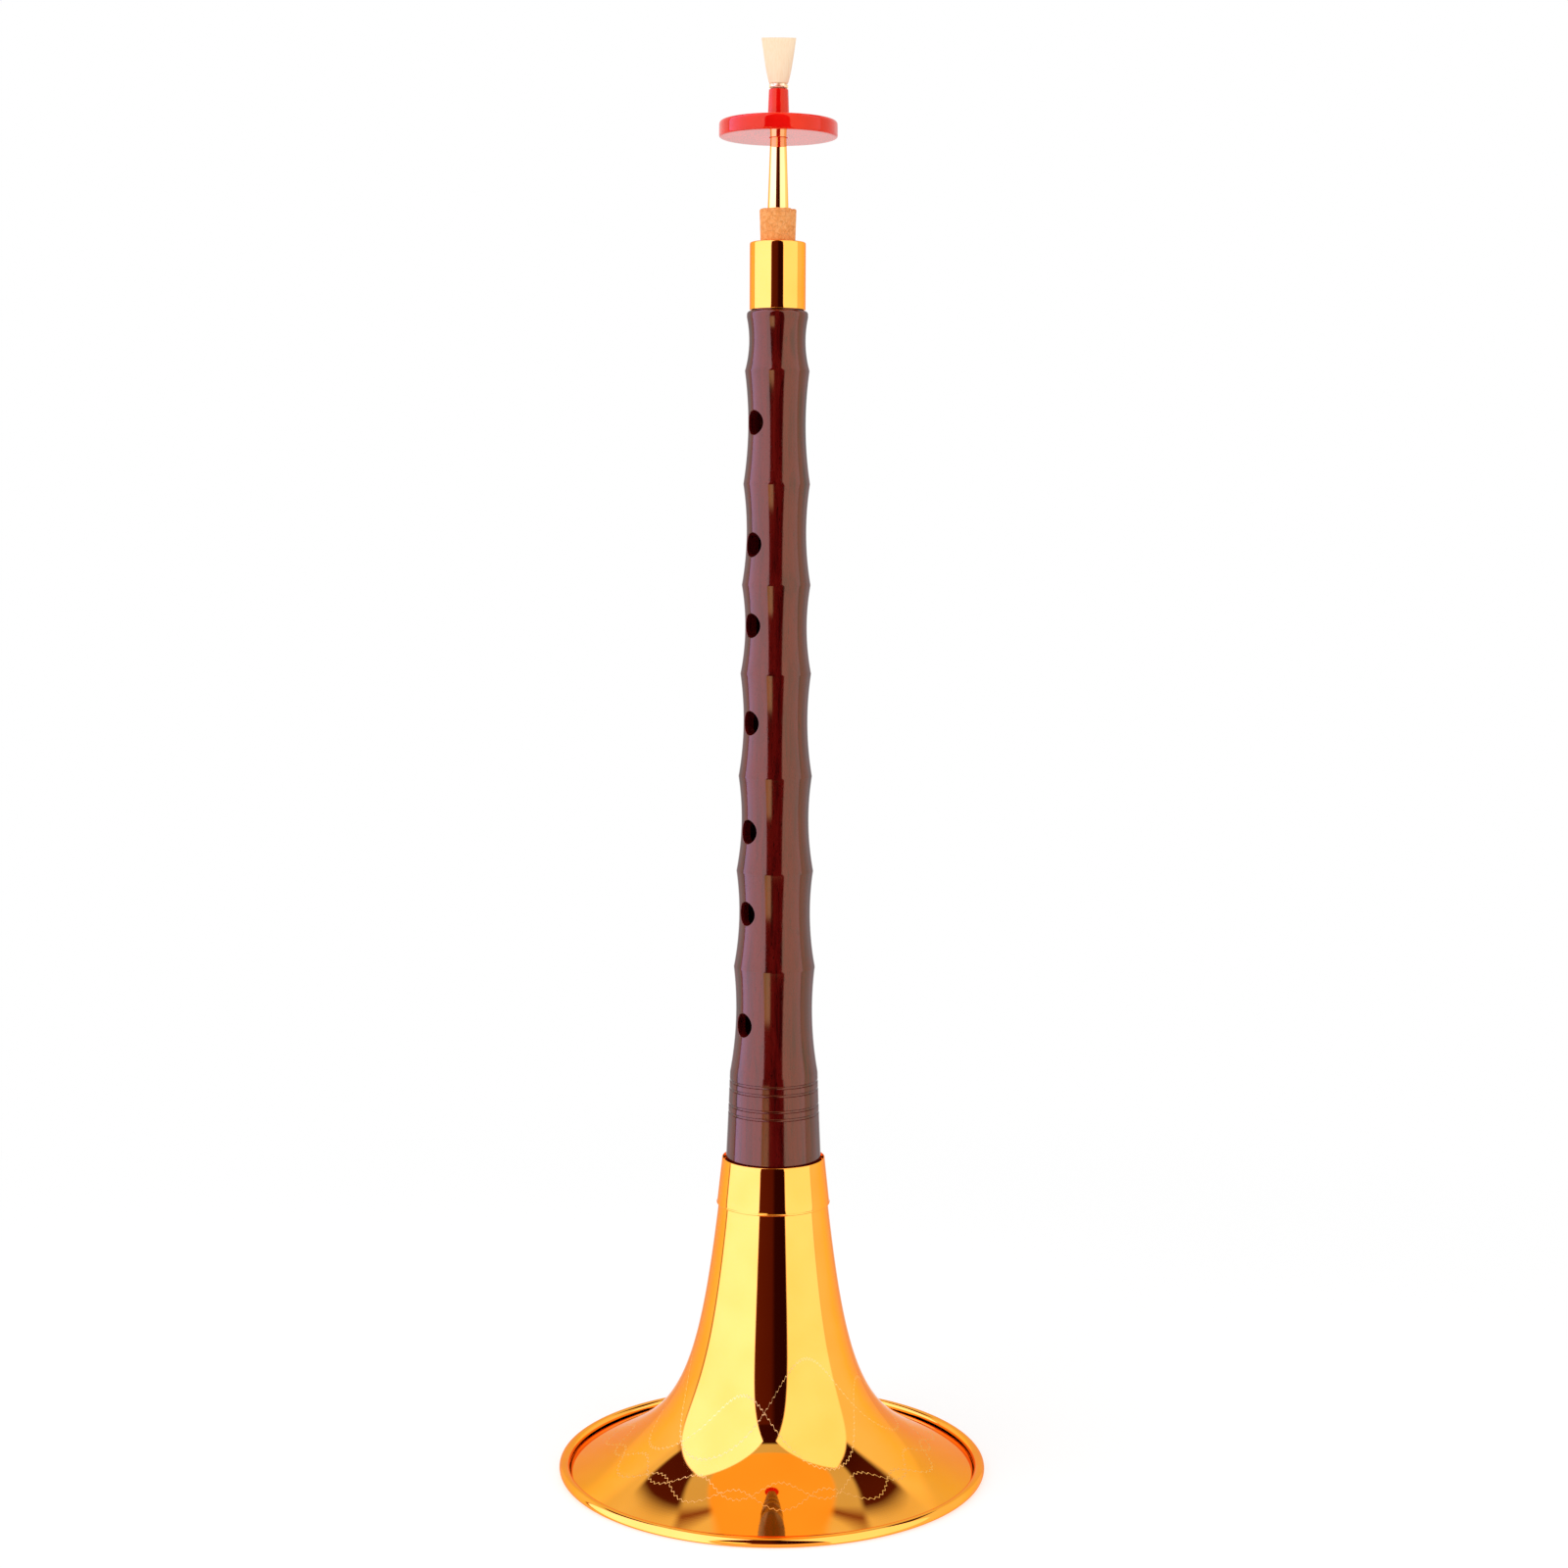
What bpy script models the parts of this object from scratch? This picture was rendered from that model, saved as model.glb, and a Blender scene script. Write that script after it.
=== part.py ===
"""A suona: a turned wooden pipe with a spun brass bell, a corked staple, a lip disc and a cane reed.

Lengths are in metres, +Z is up and the rim of the bell stands on Z = 0. The seven front holes face -Y
and the thumb hole faces +Y. Every piece is built on the one below it: bell, pipe, ferrule, staple,
lip disc, reed.
"""

from math import atan2, cos, pi, radians, sin

import bmesh
import bpy
from mathutils import Matrix, Vector
from mathutils.geometry import interpolate_bezier

MM = 0.001

# Bell: a spun sheet with a straight neck, an open flare and an edge rolled round a wire
RIM_RADIUS = 62.0 * MM
BELL_WALL = 0.4 * MM
BEAD_RADIUS = 1.5 * MM
BEAD_LAND_DEPTH = 0.08 * MM
BEAD_CLOSING_ANGLE = 180.0
RIM_WIRE_RADIUS = 0.8 * MM
RIM_SLOPE = 24.0
RIM_REACH = 34.0 * MM
THROAT_SLOPE = 6.6
THROAT_REACH = 60.0 * MM
SEAM_HEIGHT = 79.0 * MM
NECK_STRAIGHT = 3.5 * MM
NECK_SET_BACK = 1.2 * MM

# Collar: a thin conical sleeve soldered over the neck, with a beaded lower edge
COLLAR_LENGTH = 13.5 * MM
COLLAR_WALL = 0.3 * MM
COLLAR_SPREAD = 1.4 * MM
COLLAR_BEAD_RADIUS = 0.32 * MM
SOLDER_GAP = 0.12 * MM

# Pipe: the part above the collar, measured down from the shoulder under the ferrule
PIPE_LENGTH = 241.2 * MM
SHOULDER_RADIUS = 8.6 * MM
SHOULDER_ROUND = 1.0 * MM
SHOULDER_DEPTH = 1.8 * MM
BODY_TOP_RADIUS = 8.92 * MM
BODY_FOOT_RADIUS = 13.7 * MM
BODY_FOOT_SPREAD = 2.27 * MM
TOP_SCALLOP_DEPTH = 0.9 * MM
SCALLOP_DEPTH = 1.15 * MM
END_SCALLOP = 14.5 * MM
GROOVE_WIDTH = 0.9 * MM
GROOVE_DEPTH = 0.35 * MM
GROOVE_PITCH = 2.3 * MM
GROOVE_PAIR_PITCH = 6.9 * MM
GROOVES_BELOW_RIDGE = 2.4 * MM

# Holes: shares of the pipe's length from the shoulder, because they tune the sounding length
FRONT_HOLES = (0.129, 0.270, 0.364, 0.478, 0.606, 0.703, 0.836)
TONE_HOLE_RADIUS = 3.4 * MM
THUMB_HOLE_RADIUS = 3.2 * MM
BORE_TOP_RADIUS = 3.2 * MM
BORE_END_RADIUS = 10.0 * MM

# Lower tenon and its cork, inside the neck of the bell
TENON_LENGTH = 22.0 * MM
TENON_STEP = 0.5 * MM
TENON_CLEARANCE = 0.4 * MM
MOUTH_CLEARANCE = 0.3 * MM
BELL_CORK_LENGTH = 15.0 * MM
BELL_CORK_THICKNESS = 1.3 * MM
BELL_CORK_INSET = 2.6 * MM
TENON_CHAMFER = 0.6 * MM

# Ferrule: a drawn brass cap on the upper tenon, its top turned in
FERRULE_LENGTH = 18.6 * MM
FERRULE_RADIUS = 7.85 * MM
FERRULE_WALL = 0.5 * MM
FERRULE_ROUND = 0.7 * MM

# Staple, its cork and the socket in the pipe
STAPLE_CORK_LENGTH = 21.7 * MM
STAPLE_CORK_SEATED = 12.6 * MM
STAPLE_CORK_TOP_RADIUS = 5.15 * MM
STAPLE_CORK_END_RADIUS = 4.45 * MM
STAPLE_CORK_ROUND = 0.4 * MM
STAPLE_FOOT_RADIUS = 3.66 * MM
STAPLE_KNEE_RADIUS = 2.24 * MM
STAPLE_TIP_RADIUS = 1.35 * MM
STAPLE_WALL = 0.35 * MM
STAPLE_IN_REED = 4.2 * MM

# Lip disc with its neck
DISC_STAND = 19.6 * MM
DISC_RADIUS = 16.55 * MM
DISC_THICKNESS = 4.5 * MM
DISC_UPPER_ROUND = 1.2 * MM
DISC_LOWER_ROUND = 0.6 * MM
DISC_NECK_LENGTH = 8.6 * MM
DISC_NECK_FOOT_RADIUS = 3.05 * MM
DISC_NECK_TOP_RADIUS = 2.72 * MM

# Reed: a cane tube, round at its foot and pressed flat at its tip
REED_LENGTH = 13.7 * MM
REED_FOOT_RADIUS = 2.5 * MM
REED_TIP_WIDTH = 9.4 * MM
REED_TIP_THICKNESS = 1.3 * MM
REED_WALL = 0.4 * MM
REED_SPREAD_POWER = 0.7
REED_THINNING_POWER = 1.5
REED_FACING = 54.0
BINDING_WIRE_RADIUS = 0.18 * MM
BINDING_TURNS = 3
BINDING_SINK = 0.3 * MM

# Clearances between pieces
SEAT_GAP = 0.3 * MM
GLUE_GAP = 0.1 * MM

# Facets: round pieces, and steps along the curved parts of an outline
BELL_SEGMENTS = 48
PIPE_SEGMENTS = 32
DISC_SEGMENTS = 36
SMALL_SEGMENTS = 24
FLARE_STEPS = 10
CURL_STEPS = 9
WIRE_STEPS = 6
SCALLOP_STEPS = 4
ROUND_STEPS = 3
HOLE_SEGMENTS = 16
REED_STEPS = 6
SHARP_ANGLE = 32.0

# Sizes and heights that follow from the ones above
NECK_BORE_RADIUS = BODY_FOOT_RADIUS + MOUTH_CLEARANCE
NECK_RADIUS = NECK_BORE_RADIUS + BELL_WALL
COLLAR_TOP_RADIUS = NECK_RADIUS + SOLDER_GAP + COLLAR_WALL
COLLAR_END_RADIUS = COLLAR_TOP_RADIUS + COLLAR_SPREAD
SEAM_RADIUS = COLLAR_END_RADIUS - COLLAR_WALL - SOLDER_GAP
COLLAR_TOP = SEAM_HEIGHT + COLLAR_LENGTH
NECK_TOP = COLLAR_TOP - NECK_SET_BACK
PIPE_END = COLLAR_TOP - TENON_LENGTH
TENON_RADIUS = NECK_BORE_RADIUS - TENON_CLEARANCE
SHOULDER = COLLAR_TOP + PIPE_LENGTH
FERRULE_END = SHOULDER + SEAT_GAP
FERRULE_TOP = FERRULE_END + FERRULE_LENGTH
TOP_TENON_RADIUS = FERRULE_RADIUS - FERRULE_WALL - SEAT_GAP
TOP_TENON_END = FERRULE_TOP - FERRULE_WALL - SEAT_GAP
STAPLE_FOOT = FERRULE_TOP - STAPLE_CORK_SEATED
SOCKET_FLOOR = STAPLE_FOOT - SEAT_GAP
STAPLE_CORK_TOP = STAPLE_FOOT + STAPLE_CORK_LENGTH
DISC_UNDERSIDE = STAPLE_CORK_TOP + DISC_STAND
DISC_TOP = DISC_UNDERSIDE + DISC_THICKNESS
DISC_NECK_TOP = DISC_TOP + DISC_NECK_LENGTH
REED_FOOT = DISC_NECK_TOP + SEAT_GAP
STAPLE_TIP = REED_FOOT + STAPLE_IN_REED
BINDING_HEIGHT = 2 * BINDING_WIRE_RADIUS * BINDING_TURNS


def between(start, end, share):
    return start + (end - start) * share


def arc(centre, radius, start, end, steps):
    """Points (radius, height) on a circle, from one angle to another in degrees, both ends included."""
    angles = [radians(between(start, end, step / steps)) for step in range(steps + 1)]
    return [(centre[0] + radius * cos(a), centre[1] + radius * sin(a)) for a in angles]


def bezier(start, start_handle, end_handle, end, steps):
    """Points (radius, height) on a cubic curve, without its first point."""
    knots = [Vector((radius, height, 0.0)) for radius, height in (start, start_handle, end_handle, end)]
    return [(point.x, point.y) for point in interpolate_bezier(*knots, steps + 1)[1:]]


def sheet(middle, wall):
    """The closed outline of a sheet of even thickness about its middle line, which runs down the outer side."""
    outer, inner = [], []
    last = len(middle) - 1
    for index, (radius, height) in enumerate(middle):
        before, after = middle[max(index - 1, 0)], middle[min(index + 1, last)]
        heading = atan2(after[1] - before[1], after[0] - before[0])
        across = (-sin(heading) * wall / 2, cos(heading) * wall / 2)
        outer.append((radius + across[0], height + across[1]))
        inner.append((radius - across[0], height - across[1]))
    return outer + inner[::-1]


def cut_flat(outline):
    """The outline without what reaches below height 0, closed there by a flat land."""
    points = []
    for (radius, height), (next_radius, next_height) in zip(outline, outline[1:] + outline[:1]):
        if height >= 0.0:
            points.append((radius, height))
        if (height < 0.0) != (next_height < 0.0):
            points.append((between(radius, next_radius, height / (height - next_height)), 0.0))
    return points


def principled(name, colour, roughness, metallic=0.0):
    material = bpy.data.materials.new(name)
    material.use_nodes = True
    shader = material.node_tree.nodes["Principled BSDF"]
    shader.inputs["Base Color"].default_value = (*colour, 1.0)
    shader.inputs["Roughness"].default_value = roughness
    shader.inputs["Metallic"].default_value = metallic
    material.diffuse_color = (*colour, 1.0)
    return material


def seat(name, height, parent=None):
    """An empty on the axis, where a group of pieces sits on the one below."""
    empty = bpy.data.objects.new(name, None)
    empty.empty_display_size = 10 * MM
    bpy.context.scene.collection.objects.link(empty)
    empty.parent = parent
    empty.location.z = height - (parent.matrix_world.translation.z if parent else 0.0)
    bpy.context.view_layer.update()
    return empty


def place(name, form, material, parent):
    """An object made of a bmesh in world heights, hung on its seat and shaded smooth between its edges."""
    bmesh.ops.recalc_face_normals(form, faces=form.faces)
    bmesh.ops.translate(form, verts=form.verts, vec=-parent.matrix_world.translation)
    mesh = bpy.data.meshes.new(name)
    form.to_mesh(mesh)
    form.free()
    mesh.materials.append(material)
    mesh.shade_smooth()
    mesh.set_sharp_from_angle(angle=radians(SHARP_ANGLE))
    piece = bpy.data.objects.new(name, mesh)
    bpy.context.scene.collection.objects.link(piece)
    piece.parent = parent
    return piece


def turned(name, outline, segments, material, parent):
    """A ring-shaped piece turned from a closed outline of (radius, height) points."""
    form = bmesh.new()
    corners = [form.verts.new((radius, 0.0, height)) for radius, height in outline]
    sides = [form.edges.new(pair) for pair in zip(corners, corners[1:] + corners[:1])]
    bmesh.ops.spin(
        form,
        geom=corners + sides,
        axis=(0.0, 0.0, 1.0),
        cent=(0.0, 0.0, 0.0),
        angle=2 * pi,
        steps=segments,
        use_merge=True,
    )
    return place(name, form, material, parent)


def lofted(name, sections, material, parent):
    """A tube through closed sections of equal counts, the last joined back to the first."""
    form = bmesh.new()
    rings = [[form.verts.new(point) for point in section] for section in sections]
    for ring, following in zip(rings, rings[1:] + rings[:1]):
        for index in range(len(ring)):
            nearby = (index + 1) % len(ring)
            form.faces.new((ring[index], ring[nearby], following[nearby], following[index]))
    return place(name, form, material, parent)


def bell_middle_line():
    """The middle line of the bell's sheet: straight neck, shoulder, flare and the roll round the rim wire."""
    half = BELL_WALL / 2
    roll_centre = (RIM_RADIUS - BEAD_RADIUS, BEAD_RADIUS - BEAD_LAND_DEPTH)
    roll_radius = BEAD_RADIUS - half
    roll_start = -90.0 - RIM_SLOPE
    neck = (NECK_RADIUS - half, NECK_TOP - NECK_STRAIGHT)
    seam = (SEAM_RADIUS - half, SEAM_HEIGHT)
    roll = arc(roll_centre, roll_radius, roll_start, BEAD_CLOSING_ANGLE, CURL_STEPS)
    slope, rise = radians(THROAT_SLOPE), (neck[1] - seam[1]) / 3
    line = [(neck[0], NECK_TOP), neck]
    line += bezier(neck, (neck[0], neck[1] - rise), (seam[0] - rise * sin(slope), seam[1] + rise), seam, 4)
    throat_handle = (seam[0] + THROAT_REACH * sin(slope), seam[1] - THROAT_REACH * cos(slope))
    rim_slope = radians(RIM_SLOPE)
    rim_handle = (roll[0][0] - RIM_REACH * cos(rim_slope), roll[0][1] + RIM_REACH * sin(rim_slope))
    line += bezier(seam, throat_handle, rim_handle, roll[0], FLARE_STEPS)
    return line + roll[1:]


def make_bell(brass, wire_brass, parent):
    outline = cut_flat(sheet(bell_middle_line(), BELL_WALL))
    turned("bell_flare", outline, BELL_SEGMENTS, brass, parent)

    wire_centre = (RIM_RADIUS - BEAD_RADIUS, BEAD_RADIUS - BEAD_LAND_DEPTH)
    wire = arc(wire_centre, RIM_WIRE_RADIUS, 90.0, -270.0, WIRE_STEPS)[:-1]
    turned("rim_wire", wire, BELL_SEGMENTS, wire_brass, parent)

    bead_height = SEAM_HEIGHT + COLLAR_BEAD_RADIUS
    bead_inset = COLLAR_END_RADIUS - COLLAR_BEAD_RADIUS / 2
    collar = [(COLLAR_TOP_RADIUS, COLLAR_TOP), (COLLAR_END_RADIUS, SEAM_HEIGHT + 2 * COLLAR_BEAD_RADIUS)]
    collar += arc((bead_inset, bead_height), COLLAR_BEAD_RADIUS, 60.0, -90.0, ROUND_STEPS)
    collar += [(COLLAR_END_RADIUS - COLLAR_WALL, SEAM_HEIGHT), (COLLAR_TOP_RADIUS - COLLAR_WALL, COLLAR_TOP)]
    turned("bell_collar", collar, BELL_SEGMENTS, brass, parent)


def body_radius(depth):
    """Radius over the ridges at a depth below the shoulder: an even taper that opens out at the foot."""
    share = depth / PIPE_LENGTH
    foot = BODY_FOOT_RADIUS - BODY_FOOT_SPREAD
    return between(BODY_TOP_RADIUS, foot, share) + BODY_FOOT_SPREAD * share**4


def ridge_depths():
    """Ridges stand midway between neighbouring holes, and one scallop's end beyond the first and last."""
    holes = [share * PIPE_LENGTH for share in FRONT_HOLES]
    middles = [(upper + lower) / 2 for upper, lower in zip(holes, holes[1:])]
    return [holes[0] - END_SCALLOP, *middles, holes[-1] + END_SCALLOP]


def scallops():
    """The hollows between ridges, each sunk below the straight line from ridge to ridge."""
    ridges = [(SHOULDER_DEPTH, SHOULDER_RADIUS)] + [(depth, body_radius(depth)) for depth in ridge_depths()]
    points = []
    for index, (upper, lower) in enumerate(zip(ridges, ridges[1:])):
        sink = TOP_SCALLOP_DEPTH if index == 0 else SCALLOP_DEPTH
        for step in range(SCALLOP_STEPS):
            share = step / SCALLOP_STEPS
            radius = between(upper[1], lower[1], share) - sink * 4 * share * (1 - share)
            points.append((radius, SHOULDER - between(upper[0], lower[0], share)))
    return points + [(ridges[-1][1], SHOULDER - ridges[-1][0])]


def grooves():
    """Two pairs of turned grooves below the last ridge."""
    points = []
    first = ridge_depths()[-1] + GROOVES_BELOW_RIDGE
    for pair in range(2):
        for groove in range(2):
            middle = first + pair * GROOVE_PAIR_PITCH + groove * GROOVE_PITCH
            for offset, sink in ((-0.5, 0.0), (-0.2, 1.0), (0.2, 1.0), (0.5, 0.0)):
                depth = middle + offset * GROOVE_WIDTH
                points.append((body_radius(depth) - sink * GROOVE_DEPTH, SHOULDER - depth))
    return points


def staple_cork_radius(height):
    share = (height - STAPLE_FOOT) / STAPLE_CORK_LENGTH
    return between(STAPLE_CORK_END_RADIUS, STAPLE_CORK_TOP_RADIUS, share)


def pipe_outline():
    """The pipe from its upper tenon down its outside, round its lower end and up its bore to the socket."""
    top = [(TOP_TENON_RADIUS, TOP_TENON_END), (TOP_TENON_RADIUS, SHOULDER)]
    rounding = (SHOULDER_RADIUS - SHOULDER_ROUND, SHOULDER - SHOULDER_ROUND)
    top += arc(rounding, SHOULDER_ROUND, 90.0, 0.0, ROUND_STEPS)

    core = NECK_BORE_RADIUS - SEAT_GAP - BELL_CORK_THICKNESS
    cork_top = COLLAR_TOP - BELL_CORK_INSET
    cork_end = cork_top - BELL_CORK_LENGTH
    foot = [
        (BODY_FOOT_RADIUS, COLLAR_TOP),
        (TENON_RADIUS, COLLAR_TOP - TENON_STEP),
        (TENON_RADIUS, cork_top),
        (core, cork_top),
        (core, cork_end),
        (TENON_RADIUS, cork_end),
        (TENON_RADIUS, PIPE_END + TENON_CHAMFER),
        (TENON_RADIUS - TENON_CHAMFER, PIPE_END),
    ]
    inside = [
        (BORE_END_RADIUS, PIPE_END),
        (BORE_TOP_RADIUS, SOCKET_FLOOR),
        (staple_cork_radius(SOCKET_FLOOR) + SEAT_GAP, SOCKET_FLOOR),
        (staple_cork_radius(TOP_TENON_END) + SEAT_GAP, TOP_TENON_END),
    ]
    return top + scallops() + grooves() + foot + inside


def hole_cutter(parent):
    """Eight plain drills from the axis outwards: seven towards -Y, and the thumb hole towards +Y."""
    reach = 2 * BODY_FOOT_RADIUS
    holes = [(share, TONE_HOLE_RADIUS, -1) for share in FRONT_HOLES]
    holes.append(((FRONT_HOLES[0] + FRONT_HOLES[1]) / 2, THUMB_HOLE_RADIUS, 1))
    form = bmesh.new()
    for share, radius, side in holes:
        height = SHOULDER - share * PIPE_LENGTH - parent.matrix_world.translation.z
        bmesh.ops.create_cone(
            form,
            cap_ends=True,
            segments=HOLE_SEGMENTS,
            radius1=radius,
            radius2=radius,
            depth=reach,
            matrix=Matrix.Translation((0.0, side * reach / 2, height)) @ Matrix.Rotation(pi / 2, 4, "X"),
        )
    mesh = bpy.data.meshes.new("hole_drills")
    form.to_mesh(mesh)
    form.free()
    cutter = bpy.data.objects.new("hole_drills", mesh)
    bpy.context.scene.collection.objects.link(cutter)
    cutter.parent = parent
    cutter.hide_render = True
    cutter.display_type = "WIRE"
    return cutter


def make_pipe(rosewood, cork, brass, parent):
    pipe = turned("pipe", pipe_outline(), PIPE_SEGMENTS, rosewood, parent)
    drilling = pipe.modifiers.new("tone_holes", "BOOLEAN")
    drilling.operation = "DIFFERENCE"
    drilling.object = hole_cutter(parent)

    outside = NECK_BORE_RADIUS - SEAT_GAP
    inside = outside - BELL_CORK_THICKNESS + GLUE_GAP
    top = COLLAR_TOP - BELL_CORK_INSET - GLUE_GAP
    end = top - BELL_CORK_LENGTH + 2 * GLUE_GAP
    sleeve = [(outside, top), (outside, end), (inside, end), (inside, top)]
    turned("bell_cork", sleeve, PIPE_SEGMENTS, cork, parent)

    inner_top = FERRULE_TOP - FERRULE_WALL
    opening = staple_cork_radius(FERRULE_TOP) + SEAT_GAP
    rounding = (FERRULE_RADIUS - FERRULE_ROUND, FERRULE_TOP - FERRULE_ROUND)
    ferrule = [(opening, FERRULE_TOP)]
    ferrule += arc(rounding, FERRULE_ROUND, 90.0, 0.0, ROUND_STEPS)
    ferrule += [(FERRULE_RADIUS, FERRULE_END), (FERRULE_RADIUS - FERRULE_WALL, FERRULE_END)]
    ferrule += [(FERRULE_RADIUS - FERRULE_WALL, inner_top), (opening, inner_top)]
    turned("ferrule", ferrule, PIPE_SEGMENTS, brass, parent)


def staple_radius(height):
    """Outer radius of the staple: one taper up to the disc's underside, then a finer one to its tip."""
    if height <= DISC_UNDERSIDE:
        share = (height - STAPLE_FOOT) / (DISC_UNDERSIDE - STAPLE_FOOT)
        return between(STAPLE_FOOT_RADIUS, STAPLE_KNEE_RADIUS, share)
    share = (height - DISC_UNDERSIDE) / (STAPLE_TIP - DISC_UNDERSIDE)
    return between(STAPLE_KNEE_RADIUS, STAPLE_TIP_RADIUS, share)


def make_staple(brass, cork, parent):
    heights = (STAPLE_TIP, DISC_UNDERSIDE, STAPLE_FOOT)
    outer = [(staple_radius(height), height) for height in heights]
    inner = [(radius - STAPLE_WALL, height) for radius, height in reversed(outer)]
    turned("staple", outer + inner, SMALL_SEGMENTS, brass, parent)

    rounded = STAPLE_CORK_ROUND
    sleeve = [
        (STAPLE_CORK_TOP_RADIUS - rounded, STAPLE_CORK_TOP),
        (STAPLE_CORK_TOP_RADIUS, STAPLE_CORK_TOP - rounded),
        (STAPLE_CORK_END_RADIUS, STAPLE_FOOT),
        (staple_radius(STAPLE_FOOT) + GLUE_GAP, STAPLE_FOOT),
        (staple_radius(STAPLE_CORK_TOP) + GLUE_GAP, STAPLE_CORK_TOP),
    ]
    turned("staple_cork", sleeve, SMALL_SEGMENTS, cork, parent)


def make_lip_disc(plastic, parent):
    upper, lower = DISC_UPPER_ROUND, DISC_LOWER_ROUND
    outline = [(DISC_NECK_TOP_RADIUS, DISC_NECK_TOP), (DISC_NECK_FOOT_RADIUS, DISC_TOP)]
    outline += arc((DISC_RADIUS - upper, DISC_TOP - upper), upper, 90.0, 0.0, ROUND_STEPS)
    outline += arc((DISC_RADIUS - lower, DISC_UNDERSIDE + lower), lower, 0.0, -90.0, ROUND_STEPS)
    outline += [
        (staple_radius(DISC_UNDERSIDE) + SEAT_GAP, DISC_UNDERSIDE),
        (staple_radius(DISC_NECK_TOP) + SEAT_GAP, DISC_NECK_TOP),
    ]
    turned("lip_disc", outline, DISC_SEGMENTS, plastic, parent)


def reed_section(height, half_width, half_thickness):
    """An oval, its long way turned to the side that the reed faces."""
    facing = radians(REED_FACING)
    points = []
    for index in range(SMALL_SEGMENTS):
        angle = 2 * pi * index / SMALL_SEGMENTS
        wide, thick = half_width * cos(angle), half_thickness * sin(angle)
        across = wide * cos(facing) - thick * sin(facing)
        along = wide * sin(facing) + thick * cos(facing)
        points.append((across, along, height))
    return points


def make_reed(cane, wire_brass, parent):
    """The reed spreads and thins from a round foot, hollow all the way to the slit at its tip."""
    core = REED_FOOT_RADIUS - BINDING_SINK
    step_height = REED_FOOT + BINDING_HEIGHT + GLUE_GAP
    tip = REED_FOOT + REED_LENGTH
    outside = [(REED_FOOT, core, core), (step_height, core, core)]
    inside = [(REED_FOOT, core - REED_WALL / 2, core - REED_WALL / 2)]
    for step in range(REED_STEPS + 1):
        share = step / REED_STEPS
        height = between(step_height + GLUE_GAP, tip, share)
        wide = between(REED_FOOT_RADIUS, REED_TIP_WIDTH / 2, share**REED_SPREAD_POWER)
        thick = between(REED_FOOT_RADIUS, REED_TIP_THICKNESS / 2, share**REED_THINNING_POWER)
        outside.append((height, wide, thick))
        inside.append((height, wide - REED_WALL, thick - REED_WALL))
    sections = [reed_section(*size) for size in outside + inside[::-1]]
    lofted("reed", sections, cane, parent)

    winding = []
    for turn in range(BINDING_TURNS):
        middle = REED_FOOT + BINDING_HEIGHT - (2 * turn + 1) * BINDING_WIRE_RADIUS
        bulge = arc((core + GLUE_GAP + BINDING_WIRE_RADIUS, middle), BINDING_WIRE_RADIUS, 90.0, -90.0, ROUND_STEPS)
        winding += bulge if turn == 0 else bulge[1:]
    winding += [(core + GLUE_GAP, REED_FOOT), (core + GLUE_GAP, REED_FOOT + BINDING_HEIGHT)]
    turned("reed_binding", winding, SMALL_SEGMENTS, wire_brass, parent)


def main():
    for leftover in list(bpy.data.objects):
        bpy.data.objects.remove(leftover)

    brass = principled("polished_brass", (0.91, 0.52, 0.10), 0.12, 1.0)
    wire_brass = principled("brass_wire", (0.87, 0.62, 0.24), 0.25, 1.0)
    rosewood = principled("lacquered_rosewood", (0.13, 0.018, 0.010), 0.16)
    cork = principled("cork", (0.62, 0.30, 0.12), 0.85)
    plastic = principled("red_plastic", (0.85, 0.03, 0.015), 0.12)
    cane = principled("scraped_cane", (0.86, 0.68, 0.42), 0.55)

    bell = seat("bell_seat", 0.0)
    pipe = seat("pipe_seat", COLLAR_TOP, bell)
    staple = seat("staple_seat", FERRULE_TOP, pipe)
    disc = seat("disc_seat", DISC_UNDERSIDE, staple)
    reed = seat("reed_seat", REED_FOOT, staple)

    make_bell(brass, wire_brass, bell)
    make_pipe(rosewood, cork, brass, pipe)
    make_staple(brass, cork, staple)
    make_lip_disc(plastic, disc)
    make_reed(cane, wire_brass, reed)


main()
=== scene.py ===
"""Dresses a suona: spun brass bell, scalloped rosewood pipe, corked staple, red lip disc and cane reed.

Lengths are written in millimetres and turned to metres by MM. The axis of the instrument is Z, the rim of
the bell stands on Z = 0, the seven front holes face -Y and the thumb hole faces +Y.
"""

import logging
from collections.abc import Callable
from dataclasses import dataclass
from enum import Enum
from functools import reduce
from math import atan, cos, pi, radians, sin

import bpy
import numpy as np
from mathutils import Matrix, Vector


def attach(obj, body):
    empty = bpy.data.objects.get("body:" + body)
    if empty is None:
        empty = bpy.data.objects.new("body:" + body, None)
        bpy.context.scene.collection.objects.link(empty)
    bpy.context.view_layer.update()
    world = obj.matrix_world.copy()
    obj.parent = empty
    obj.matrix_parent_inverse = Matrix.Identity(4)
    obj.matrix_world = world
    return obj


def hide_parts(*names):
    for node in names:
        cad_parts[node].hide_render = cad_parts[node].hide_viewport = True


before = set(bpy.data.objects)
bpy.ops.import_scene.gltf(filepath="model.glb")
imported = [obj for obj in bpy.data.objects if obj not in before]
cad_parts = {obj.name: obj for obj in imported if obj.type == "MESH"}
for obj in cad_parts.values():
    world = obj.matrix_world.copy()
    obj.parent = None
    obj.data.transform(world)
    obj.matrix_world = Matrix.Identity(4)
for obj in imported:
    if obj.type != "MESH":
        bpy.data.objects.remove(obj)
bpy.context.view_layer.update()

MM = 0.001
SHARP_ANGLE = 38.0
PURE_WHITE = (1.0, 1.0, 1.0, 1.0)
LOG = logging.getLogger("suona")

Stops = tuple[tuple[float, str], ...]


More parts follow.
